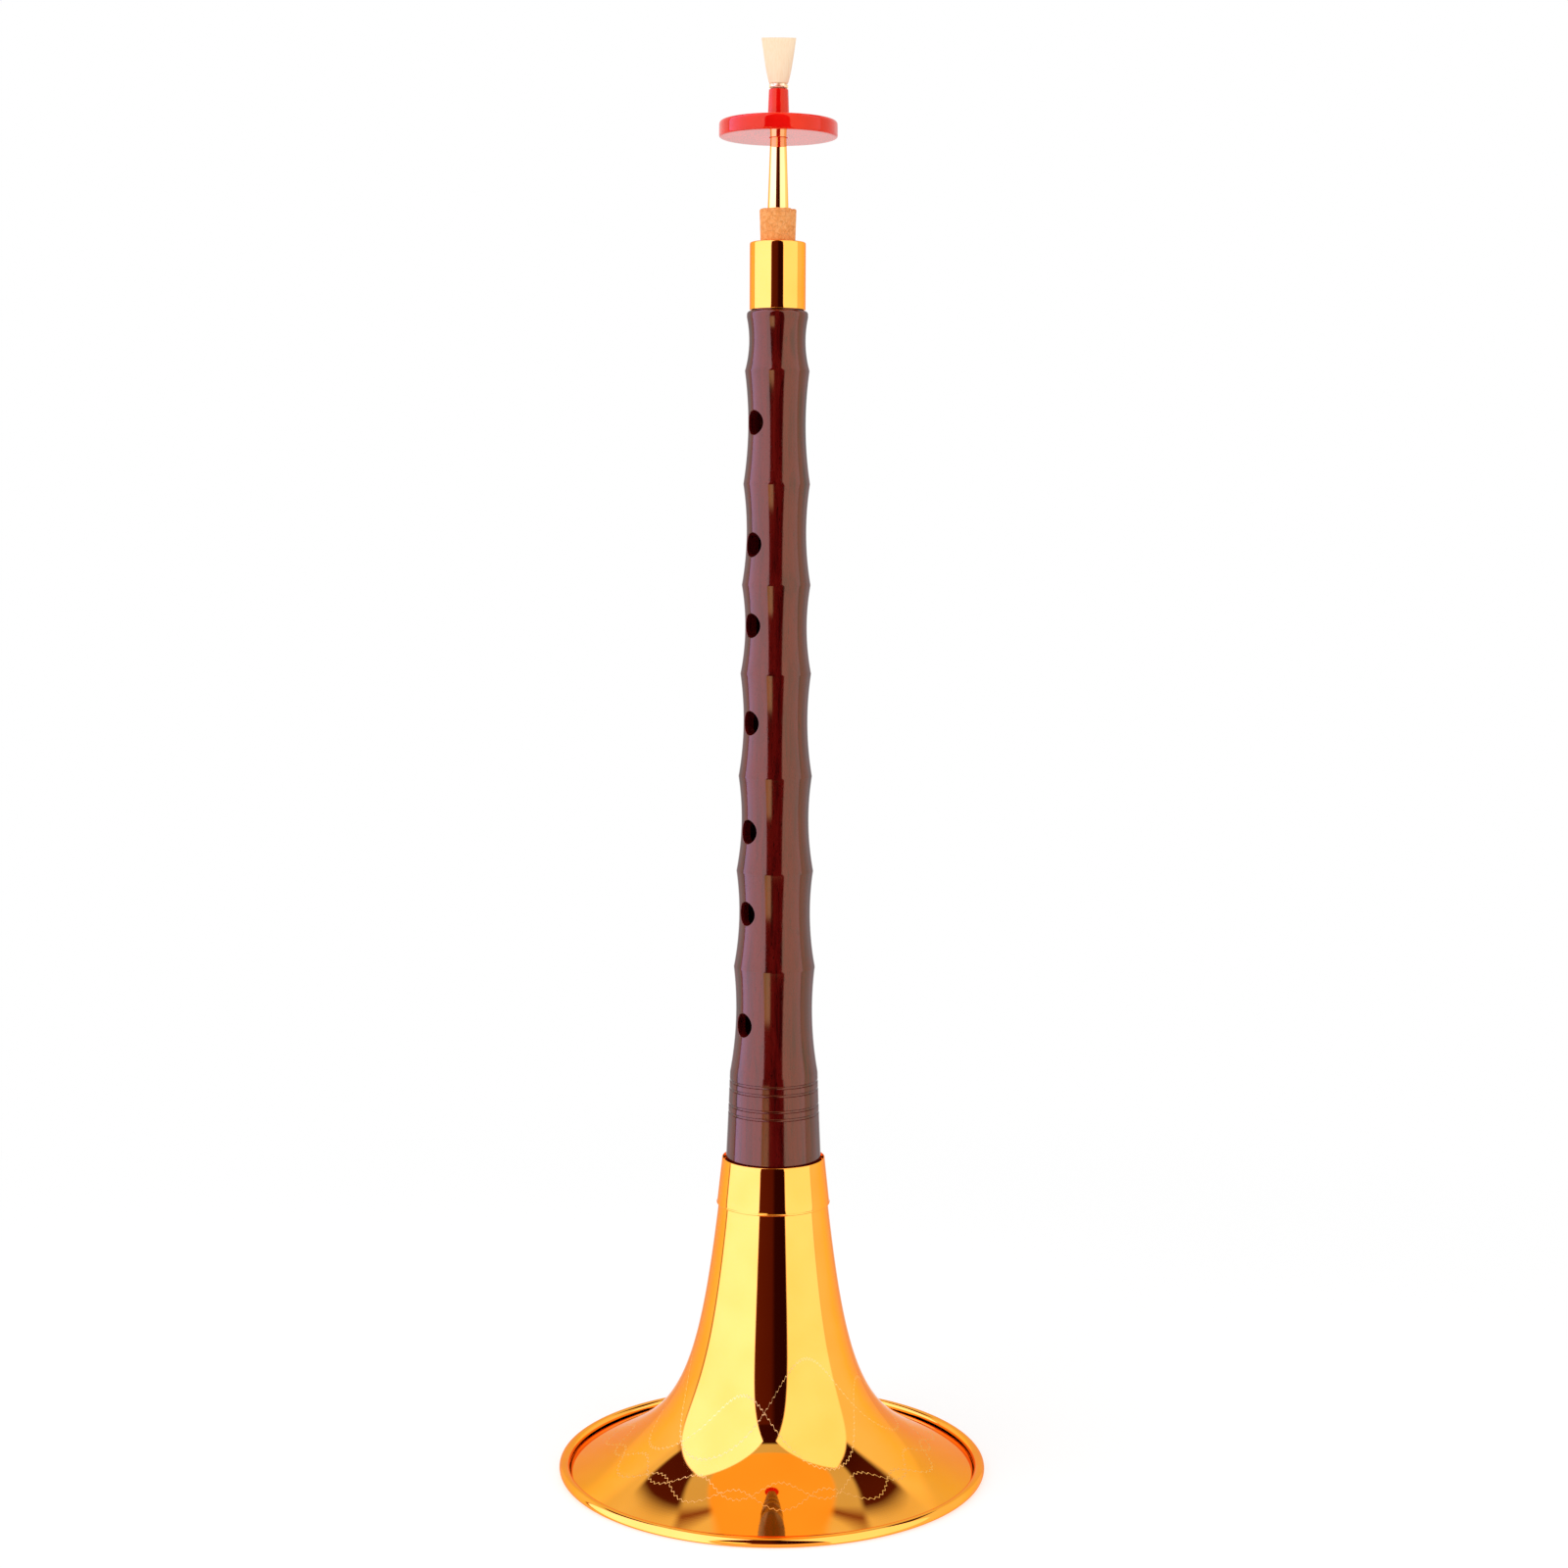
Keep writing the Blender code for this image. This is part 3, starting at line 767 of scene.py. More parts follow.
@dataclass(frozen=True)
class Pipe:
    """The rosewood pipe with its scallops, ridges, grooves and tone holes, its cork lapping and ferrule."""

    top: float = 333.7 * MM
    length: float = 241.2 * MM
    shoulder_radius: float = 8.6 * MM
    shoulder_round: float = 1.0 * MM
    shoulder_depth: float = 1.8 * MM
    body_top: float = 8.92 * MM
    body_foot: float = 11.43 * MM
    foot_spread: float = 2.27 * MM
    top_sink: float = 0.9 * MM
    sink: float = 1.15 * MM
    end_scallop: float = 14.5 * MM
    groove_width: float = 0.9 * MM
    groove_depth: float = 0.35 * MM
    groove_pitch: float = 2.3 * MM
    pair_pitch: float = 6.9 * MM
    below_ridge: float = 2.4 * MM
    front_holes: tuple[float, ...] = (0.129, 0.270, 0.364, 0.478, 0.606, 0.703, 0.836)
    hole_radius: float = 3.4 * MM
    thumb_radius: float = 3.2 * MM
    hole_ease: float = 0.22 * MM
    bore_top: float = 3.2 * MM
    bore_end: float = 10.0 * MM
    pipe_end: float = 70.5 * MM
    socket_floor: float = 339.7 * MM
    top_tenon_radius: float = 7.05 * MM
    top_tenon_end: float = 351.8 * MM
    tenon_radius: float = 13.6 * MM
    tenon_core: float = 12.4 * MM
    cork_top: float = 89.9 * MM
    cork_end: float = 74.9 * MM
    cork_radius: float = 13.7 * MM
    ferrule_end: float = 334.0 * MM
    ferrule_top: float = 352.6 * MM
    ferrule_radius: float = 7.85 * MM
    ferrule_wall: float = 0.5 * MM
    socket_low: float = 4.741 * MM
    socket_high: float = 5.131 * MM
    glue_gap: float = 0.1 * MM
    columns: int = 128
    ring: int = 8
    reach: int = 13
    bore_reach: int = 20

    @property
    def foot(self) -> float:
        """Height of the collar's top, where the visible pipe ends."""
        return self.top - self.length

    def body_radius(self, depth: np.ndarray | float) -> np.ndarray | float:
        """Radius over the ridges: an even taper plus a spread that grows with the fourth power of depth."""
        share = depth / self.length
        return self.body_top + (self.body_foot - self.body_top) * share + self.foot_spread * share**4

    def ridges(self) -> np.ndarray:
        """Depths of the ridges: one scallop's end beyond the outer holes, and midway between the others."""
        holes = np.array(self.front_holes) * self.length
        middles = (holes[1:] + holes[:-1]) / 2
        return np.concatenate([[holes[0] - self.end_scallop], middles, [holes[-1] + self.end_scallop]])

    def hollow_radius(self, depth: np.ndarray) -> np.ndarray:
        """Radius between ridges: the straight line from ridge to ridge less sink times 4 t (1 - t).

        Args:
            depth: Depths below the shoulder, down to the last ridge.

        Returns:
            The radii.
        """
        edges = np.concatenate([[self.shoulder_depth], self.ridges()])
        radii = np.concatenate([[self.shoulder_radius], self.body_radius(self.ridges())])
        number = np.clip(np.searchsorted(edges, depth, side="right") - 1, 0, len(edges) - 2)
        t = (depth - edges[number]) / (edges[number + 1] - edges[number])
        sink = np.where(number == 0, self.top_sink, self.sink)
        return radii[number] * (1 - t) + radii[number + 1] * t - sink * 4 * t * (1 - t)

    def holes(self) -> list[tuple[float, float, int]]:
        """Depth, radius and middle column of each hole, the thumb hole last."""
        front = [(share * self.length, self.hole_radius, 0) for share in self.front_holes]
        thumb = (self.front_holes[0] + self.front_holes[1]) / 2 * self.length
        return [*front, (thumb, self.thumb_radius, self.columns // 2)]

    def body_depths(self) -> np.ndarray:
        """Depths of the rows on the scalloped part: even round each hole, close at each ridge."""
        pitch = (self.hole_radius + self.hole_ease) / self.ring
        first, last = self.shoulder_depth, self.ridges()[-1]
        spaced = np.arange(first, last, 1.1 * MM)
        beside = np.array([-0.3, 0.0, 0.3]) * MM
        near = np.concatenate([[first], *[ridge + beside for ridge in self.ridges()]])
        near = near[near <= last + 1e-9]
        spaced = spaced[np.min(np.abs(spaced[:, None] - near[None]), axis=1) > 0.5 * MM]
        rows = np.concatenate([spaced, near])
        for depth, _, _ in self.holes():
            block = depth + pitch * np.arange(-self.reach, self.reach + 1)
            rows = rows[np.abs(rows - depth) > self.reach * pitch + 0.3 * MM]
            rows = np.concatenate([rows, block])
        return np.sort(rows)

    def outer_rows(self) -> np.ndarray:
        """Radius and height down the outside, from the upper tenon to the lower end."""
        tenon = straight(
            [(self.top_tenon_radius, self.top_tenon_end), (self.top_tenon_radius, self.top)], 3.0 * MM
        )
        centre = (self.shoulder_radius - self.shoulder_round, self.top - self.shoulder_round)
        shoulder = arc(centre, self.shoulder_round, 90.0, 0.0, 10)
        depths = self.body_depths()
        body = np.stack([self.hollow_radius(depths), self.top - depths], axis=1)
        first = self.ridges()[-1] + self.below_ridge
        offsets = np.linspace(-0.5, 0.5, 11)
        starts = [
            first + pair * self.pair_pitch + one * self.groove_pitch for pair in (0, 1) for one in (0, 1)
        ]
        depth = np.concatenate([start + offsets * self.groove_width for start in starts])
        cut = np.tile(self.groove_depth * np.sqrt(np.clip(1 - (2 * offsets) ** 2, 0, 1)), len(starts))
        grooves = np.stack([self.body_radius(depth) - cut, self.top - depth], axis=1)
        plain = np.linspace(depth[-1] + 0.6 * MM, self.length, 22)
        skirt = np.stack([self.body_radius(plain), self.top - plain], axis=1)
        tenon_low = straight(
            [
                (self.tenon_radius, self.foot - 0.5 * MM),
                (self.tenon_radius, self.cork_top),
                (self.tenon_core, self.cork_top),
                (self.tenon_core, self.cork_end),
                (self.tenon_radius, self.cork_end),
                (self.tenon_radius, self.pipe_end + 0.6 * MM),
                (self.tenon_radius - 0.6 * MM, self.pipe_end),
            ],
            4.0 * MM,
        )
        return np.vstack([tenon, shoulder, body, grooves, skirt, tenon_low])

    def bore_radius(self, depth: np.ndarray) -> np.ndarray:
        """Radius of the bore: one straight taper from the socket's floor to the lower end."""
        share = (self.top - depth - self.pipe_end) / (self.socket_floor - self.pipe_end)
        return self.bore_end + (self.bore_top - self.bore_end) * share

    def bore_depths(self) -> np.ndarray:
        """Depths of the rows in the bore: even round each hole, with wider ones between."""
        rows = np.linspace(self.top - self.socket_floor, self.top - self.pipe_end, 60)
        for depth, radius, _ in self.holes():
            pitch = radius / self.ring
            rows = rows[np.abs(rows - depth) > (self.ring + 3) * pitch + 0.6 * MM]
            rows = np.concatenate([rows, depth + pitch * np.arange(-self.ring - 3, self.ring + 4)])
        return np.sort(rows)[::-1]

    def bend_to_hole(
        self,
        grid: np.ndarray,
        middle: tuple[int, int],
        size: tuple[float, float],
        reach: tuple[int, int],
        radius_at: Callable[[np.ndarray], np.ndarray],
        downwards: int,
    ) -> None:
        """Bend the rows and columns about a hole so that one square of them becomes its round edge.

        A point at column a and row b from the middle first moves so that the square |a|, |b| <= ring has
        the hole's radius as its half side. It then moves towards the point where its direction in the
        square meets the circle, by a share that falls from 1 on the square to 0 at the reach.

        Args:
            grid: All points by row and column, changed in place.
            middle: Row and column of the hole's middle.
            size: The hole's depth below the shoulder and its radius on this surface.
            reach: How many columns and rows the bending reaches.
            radius_at: The surface's radius by depth.
            downwards: 1 where rows go down the pipe, -1 where they go up.
        """
        depth, edge = size
        a, b = np.meshgrid(
            np.arange(-reach[0], reach[0] + 1), np.arange(-reach[1], reach[1] + 1), indexing="xy"
        )
        pitch = 2 * pi / self.columns
        half_turn = np.arcsin(edge / radius_at(np.array([depth]))[0])
        outside = np.clip((np.abs(a) - self.ring) / (reach[0] - self.ring), 0, 1)
        warped = np.where(
            np.abs(a) <= self.ring,
            a / self.ring * half_turn,
            np.sign(a) * (half_turn + outside * (reach[0] * pitch - half_turn)),
        )
        beyond = np.clip((np.abs(b) - self.ring) / (reach[1] - self.ring), 0, 1)
        turned = warped * (1 - beyond) + a * pitch * beyond
        low = b / self.ring * edge
        clipped = np.stack([np.clip(a, -self.ring, self.ring), np.clip(b, -self.ring, self.ring)])
        angle = np.arctan2(clipped[1], clipped[0])
        square = np.maximum(np.abs(clipped[0]), np.abs(clipped[1])) / self.ring
        share = 1 - np.maximum(outside, beyond)
        share = share * share * (3 - 2 * share)
        down = low * (1 - share) + edge * square * np.sin(angle) * share
        wall = radius_at(depth + down)
        across = wall * np.sin(turned) * (1 - share) + edge * square * np.cos(angle) * share
        outward = np.sqrt(np.maximum(wall**2 - across**2, 0.0))
        facing = -1.0 if middle[1] == 0 else 1.0
        rows = middle[0] + downwards * b
        columns = (middle[1] + a) % self.columns
        grid[rows, columns, 0] = -facing * across
        grid[rows, columns, 1] = facing * outward
        grid[rows, columns, 2] = self.top - depth - down

    def square_edge(self) -> np.ndarray:
        """Column and row offsets once round the square that becomes a hole's edge."""
        side = np.arange(-self.ring, self.ring)
        end = np.full_like(side, self.ring)
        columns, rows = np.concatenate([end, -side, -end, side]), np.concatenate([side, end, -side, -end])
        return np.stack([columns, rows], axis=1)

    def hole_wall(
        self,
        hole: tuple[float, float, int],
        rim: np.ndarray,
        low: np.ndarray,
        low_points: np.ndarray,
        first: int,
    ) -> tuple[list[np.ndarray], list[np.ndarray]]:
        """Make the wall of a hole, from its edge outside to its edge in the bore.

        Three rings lie on a quarter circle of the edge's easing, hole_ease (1 - sin t) wider than the hole
        and hole_ease (1 - cos t) below the surface. Three more divide the straight wall below.

        Args:
            hole: The hole's depth, radius and middle column.
            rim: Vertex numbers of the edge outside.
            low: Vertex numbers of the edge in the bore.
            low_points: Where that edge lies.
            first: The number of the first new vertex.

        Returns:
            The new rings of points and the faces between all rings.
        """
        depth, radius, column = hole
        edge = self.square_edge()
        direction = np.arctan2(edge[:, 1], edge[:, 0])
        facing = -1.0 if column == 0 else 1.0
        new = []
        for tilt in (30.0, 60.0, 90.0):
            narrow = radius + self.hole_ease * (1 - sin(radians(tilt)))
            sunk = self.hole_ease * (1 - cos(radians(tilt)))
            across, up = narrow * np.cos(direction), narrow * np.sin(direction)
            out = np.sqrt(self.hollow_radius(depth - up) ** 2 - across**2) - sunk
            new.append(np.stack([-facing * across, facing * out, self.top - depth + up], axis=1))
        eased = new[-1]
        new += [eased * (1 - share) + low_points * share for share in (0.25, 0.5, 0.75)]
        numbers = [first + number * len(edge) + np.arange(len(edge)) for number in range(len(new))]
        rings = [rim, *numbers, low]
        walls = [
            np.stack([upper, np.roll(upper, -1), np.roll(lower, -1), lower], axis=1)
            for upper, lower in zip(rings, rings[1:])
        ]
        return new, walls

    def surface(self) -> tuple[np.ndarray, list[list[int]], np.ndarray]:
        """The whole pipe: outside and bore as one closed grid, joined through each hole by its wall.

        Returns:
            Points, faces and UVs.
        """
        outer = self.outer_rows()
        depths = self.bore_depths()
        bore = np.stack([self.bore_radius(depths), self.top - depths], axis=1)
        socket = straight(
            [(self.socket_low, self.socket_floor), (self.socket_high, self.top_tenon_end)], 3.0 * MM
        )
        outline = np.vstack([outer, bore, socket])
        points, _, _ = turn(outline, self.columns)
        vertices, _, corner_columns = grid_corners(len(outline), self.columns)
        keep = np.ones(len(vertices), dtype=bool)
        extra_points, extra_faces = [], []
        count = points.shape[0] * points.shape[1]
        outer_heights, bore_heights = outer[:, 1], bore[:, 1]
        edge = self.square_edge()
        row = vertices[:, 0] // self.columns
        half = self.columns // 2
        for depth, radius, column in self.holes():
            height = self.top - depth
            outer_row = int(np.argmin(np.abs(outer_heights - height)))
            bore_row = len(outer) + int(np.argmin(np.abs(bore_heights - height)))
            outside = (self.reach, self.reach)
            eased = radius + self.hole_ease
            self.bend_to_hole(points, (outer_row, column), (depth, eased), outside, self.hollow_radius, 1)
            inside = (self.bore_reach + 4, self.ring + 3)
            self.bend_to_hole(points, (bore_row, column), (depth, radius), inside, self.bore_radius, -1)
            offset = (corner_columns[:, 0] - column + half) % self.columns - half
            inside_columns = (offset >= -self.ring) & (offset < self.ring)
            for middle in (outer_row, bore_row):
                keep &= ~(inside_columns & (row >= middle - self.ring) & (row < middle + self.ring))
            around = (column + edge[:, 0]) % self.columns
            rim = (outer_row - edge[:, 1]) * self.columns + around
            low = (bore_row + edge[:, 1]) * self.columns + around
            low_points = points.reshape(-1, 3)[low]
            new, walls = self.hole_wall((depth, radius, column), rim, low, low_points, count)
            extra_points += new
            extra_faces += walls
            count += sum(len(ring) for ring in new)
        everything = np.vstack([points.reshape(-1, 3), *extra_points])
        faces = np.vstack([vertices[keep], *extra_faces])
        corners = everything[faces]
        uvs = np.stack([np.arctan2(corners[..., 1], corners[..., 0]), corners[..., 2]], axis=-1)
        return everything, faces.tolist(), uvs

    def build(
        self, wood: bpy.types.Material, cork: bpy.types.Material, brass: bpy.types.Material
    ) -> None:
        """Make the three pieces.

        Args:
            wood: Finish of the pipe.
            cork: Finish of the lapping.
            brass: Finish of the ferrule.
        """
        make_piece("turned_pipe", *self.surface(), wood, Body.PIPE, "pipe", Slot.ROSEWOOD)

        inner = self.tenon_core + self.glue_gap
        top, end = self.cork_top - self.glue_gap, self.cork_end + self.glue_gap
        corners = [(self.cork_radius, top), (self.cork_radius, end), (inner, end), (inner, top)]
        radii = [0.25 * MM, 0.25 * MM, 0.05 * MM, 0.05 * MM]
        lapping = turn(rounded(corners, radii, 1.5 * MM), self.columns)
        make_piece("cork_lapping", *lapping, cork, Body.PIPE, "bell_cork", Slot.CORK)

        opening = self.socket_high + 0.02 * MM
        inside = self.ferrule_radius - self.ferrule_wall
        under = self.ferrule_top - self.ferrule_wall
        corners = [
            (opening, self.ferrule_top),
            (self.ferrule_radius, self.ferrule_top),
            (self.ferrule_radius, self.ferrule_end),
            (inside, self.ferrule_end),
            (inside, under),
            (opening, under),
        ]
        radii = [0.12 * MM, 0.55 * MM, 0.12 * MM, 0.08 * MM, 0.2 * MM, 0.12 * MM]
        cap = turn(rounded(corners, radii, 1.0 * MM), self.columns)
        make_piece("drawn_ferrule", *cap, brass, Body.PIPE, "ferrule", Slot.BRASS)


@dataclass(frozen=True)
class Staple:
    """The tapered brass tube with its cork sleeve."""

    foot: float = 340.0 * MM
    knee: float = 381.3 * MM
    tip: float = 398.9 * MM
    foot_radius: float = 3.66 * MM
    knee_radius: float = 2.24 * MM
    tip_radius: float = 1.35 * MM
    wall: float = 0.35 * MM
    cork_top: float = 361.7 * MM
    cork_top_radius: float = 5.15 * MM
    cork_end_radius: float = 4.45 * MM
    cork_round: float = 0.4 * MM
    glue_gap: float = 0.1 * MM
    chip: float = 0.12 * MM
    columns: int = 96

    def radius_at(self, height: float) -> float:
        """Outer radius: one straight taper to the knee and a finer one to the tip."""
        heights = (self.foot, self.knee, self.tip)
        return float(np.interp(height, heights, (self.foot_radius, self.knee_radius, self.tip_radius)))

    def build(self, brass: bpy.types.Material, cork: bpy.types.Material) -> None:
        """Make the tube and its cork.

        Args:
            brass: Finish of the tube.
            cork: Finish of the sleeve.
        """
        outside = [(self.radius_at(h), h) for h in (self.tip, self.knee, self.foot)]
        inside = [(radius - self.wall, height) for radius, height in outside[::-1]]
        ease = [0.1 * MM, 1.0 * MM, 0.1 * MM, 0.1 * MM, 1.0 * MM, 0.1 * MM]
        tube = turn(rounded([*outside, *inside], ease, 1.5 * MM), self.columns)
        make_piece("tapered_staple", *tube, brass, Body.STAPLE, "staple", Slot.BRASS)

        corners = [
            (self.cork_top_radius, self.cork_top),
            (self.cork_end_radius, self.foot),
            (self.radius_at(self.foot) + self.glue_gap, self.foot),
            (self.radius_at(self.cork_top) + self.glue_gap, self.cork_top),
        ]
        outline = rounded(corners, [self.cork_round, 0.1 * MM, 0.05 * MM, 0.05 * MM], 0.35 * MM)
        points, faces, uvs = turn(outline, self.columns)
        self.chip_edge(points)
        make_piece("cork_sleeve", points, faces, uvs, cork, Body.STAPLE, "staple_cork", Slot.CORK)

    def chip_edge(self, points: np.ndarray) -> None:
        """Pit the cork's skin and chip its upper edge, always inwards.

        The radius loses chip times 2.2 times the positive part of smooth noise, at most chip. The noise is
        the mean of nine sine waves of the turn and the height. The upper edge loses up to three times that.

        Args:
            points: Points by row and column, changed in place.
        """
        radius = np.hypot(points[..., 0], points[..., 1])
        turned = np.arctan2(points[..., 1], points[..., 0])
        height = points[..., 2] / MM
        noise = np.zeros_like(radius)
        dice = np.random.default_rng(11)
        for _ in range(9):
            around, along, phase = dice.integers(3, 17), dice.uniform(-5.0, 5.0), dice.uniform(0, 2 * pi)
            noise += np.sin(around * turned + along * height + phase) / 9
        near_top = np.clip(1 - (self.cork_top - points[..., 2]) / (1.2 * MM), 0, 1)
        skin = np.clip((radius - 4.2 * MM) / (0.25 * MM), 0, 1)
        loss = self.chip * np.clip(noise * 2.2, 0, 1) * (1 + 2 * near_top) * skin
        points[..., 0] *= 1 - loss / radius
        points[..., 1] *= 1 - loss / radius
        points[..., 2] -= loss * near_top


@dataclass(frozen=True)
class LipDisc:
    """The red disc with its tapered neck."""

    underside: float = 381.3 * MM
    top: float = 385.8 * MM
    neck_top: float = 394.4 * MM
    radius: float = 16.55 * MM
    upper_round: float = 1.2 * MM
    lower_round: float = 0.6 * MM
    neck_foot_radius: float = 3.05 * MM
    neck_top_radius: float = 2.72 * MM
    clearance: float = 0.3 * MM
    columns: int = 192

    def build(self, plastic: bpy.types.Material, staple: Staple) -> None:
        """Make the disc.

        Args:
            plastic: Its finish.
            staple: The tube that it slides on.
        """
        corners = [
            (self.neck_top_radius, self.neck_top),
            (self.neck_foot_radius, self.top),
            (self.radius, self.top),
            (self.radius, self.underside),
            (staple.radius_at(self.underside) + self.clearance, self.underside),
            (staple.radius_at(self.neck_top) + self.clearance, self.neck_top),
        ]
        radii = [0.25 * MM, 0.5 * MM, self.upper_round, self.lower_round, 0.2 * MM, 0.1 * MM]
        disc = turn(rounded(corners, radii, 0.7 * MM), self.columns)
        make_piece("moulded_disc", *disc, plastic, Body.DISC, "lip_disc", Slot.PLASTIC)


@dataclass(frozen=True)
class Reed:
    """The cane reed, round at its foot and flat at its tip, with its wire binding."""

    foot: float = 394.7 * MM
    tip: float = 408.4 * MM
    core_radius: float = 2.2 * MM
    foot_radius: float = 2.5 * MM
    tip_width: float = 9.6 * MM
    tip_thickness: float = 1.3 * MM
    wall: float = 0.4 * MM
    spread_power: float = 0.7
    thinning_power: float = 1.5
    facing: float = 54.0
    binding_height: float = 1.08 * MM
    wire_radius: float = 0.18 * MM
    turns: int = 3
    gap: float = 0.1 * MM
    columns: int = 96
    rows: int = 48

    def sections(self) -> np.ndarray:
        """Height, half width and half thickness of each section, down the outside and up the inside.

        Above the binding the half width grows with share^0.7 and the half thickness falls with
        share^1.5, where share is the height's share of the blade.

        Returns:
            One row for each section.
        """
        start = self.foot + self.binding_height + 2 * self.gap
        share = np.linspace(0.0, 1.0, self.rows) ** 1.5
        height = start + (self.tip - start) * share
        wide = self.foot_radius + (self.tip_width / 2 - self.foot_radius) * share**self.spread_power
        thick = self.foot_radius + (self.tip_thickness / 2 - self.foot_radius) * share**self.thinning_power
        blade = np.stack([height, wide, thick], axis=1)
        core = self.core_radius
        low = np.array([[self.foot, core, core], [start - self.gap, core, core]])
        outside = np.vstack([low, blade])
        bore = core - self.wall / 2
        inside = np.vstack([[self.foot, bore, bore], blade - [0, self.wall, self.wall]])
        return np.vstack([outside[::-1], inside])

    def build(self, cane: bpy.types.Material, wire: bpy.types.Material) -> None:
        """Make the reed and its binding.

        Args:
            cane: Finish of the reed.
            wire: Finish of the binding.
        """
        sections = self.sections()
        angle = 2 * pi * np.arange(self.columns) / self.columns
        wide = sections[:, 1:2] * np.cos(angle)
        thick = sections[:, 2:3] * np.sin(angle)
        facing = radians(self.facing)
        across = wide * cos(facing) - thick * sin(facing)
        along = wide * sin(facing) + thick * cos(facing)
        points = np.stack([across, along, sections[:, :1] + 0 * angle], axis=-1)
        vertices, rows, columns = grid_corners(len(sections), self.columns)
        heights = np.append(sections[:, 0], sections[0, 0])
        uvs = np.stack([columns / self.columns, heights[rows]], axis=-1)
        make_piece("cane_reed", points, vertices.tolist(), uvs, cane, Body.REED, "reed", Slot.CANE)
        self.wind(wire)

    def wind(self, wire: bpy.types.Material) -> None:
        """Wind the binding: a ring of points carried along a helix of three close turns, its ends capped.

        Args:
            wire: Finish of the binding.
        """
        steps, sides = 72 * self.turns, 12
        share = np.arange(steps + 1) / steps
        turned = 2 * pi * self.turns * share
        radius = self.core_radius + self.gap + self.wire_radius
        pitch = (self.binding_height - 2 * self.wire_radius) / self.turns
        height = self.foot + self.wire_radius + pitch * self.turns * share
        side = 2 * pi * np.arange(sides) / sides
        out = radius + self.wire_radius * np.cos(side)[None]
        rise = height[:, None] + 0.94 * self.wire_radius * np.sin(side)[None]
        points = np.stack([out * np.cos(turned)[:, None], out * np.sin(turned)[:, None], rise], axis=-1)
        row, column = np.meshgrid(np.arange(steps), np.arange(sides), indexing="ij")
        following = (column + 1) % sides
        quads = np.stack(
            [
                row * sides + column,
                (row + 1) * sides + column,
                (row + 1) * sides + following,
                row * sides + following,
            ],
            axis=-1,
        ).reshape(-1, 4)
        caps = [list(range(sides)), list(range(steps * sides + sides - 1, steps * sides - 1, -1))]
        faces = quads.tolist() + caps
        flat = points.reshape(-1, 3)
        uvs = np.concatenate([flat[np.array(face)][:, [0, 2]] for face in faces])
        make_piece("wire_binding", points, faces, uvs, wire, Body.REED, "reed_binding", Slot.WIRE)


@dataclass(frozen=True)
class GlowRing:
    """What gloss mirrors from one elevation up to the next ring.

    The edges give azimuths from the camera's direction, clockwise positive, with the glow there.
    """

    from_elevation: float
    edges: tuple[tuple[float, str], ...]
    blur: float = 1.2


@dataclass(frozen=True)
class SoftboxGlow:
    """A flat softbox as gloss mirrors it, stretched on a plane one unit away towards its azimuth.

    Its left and right edges each have a place across that plane and a lean, the shift for each unit of
    height, and its upper edge has a height. Its coldness multiplies its blue.
    """

    azimuth: float
    left: tuple[float, float]
    right: tuple[float, float]
    top: float
    colour: str
    coldness: float = 1.0
    blur: float = 0.035


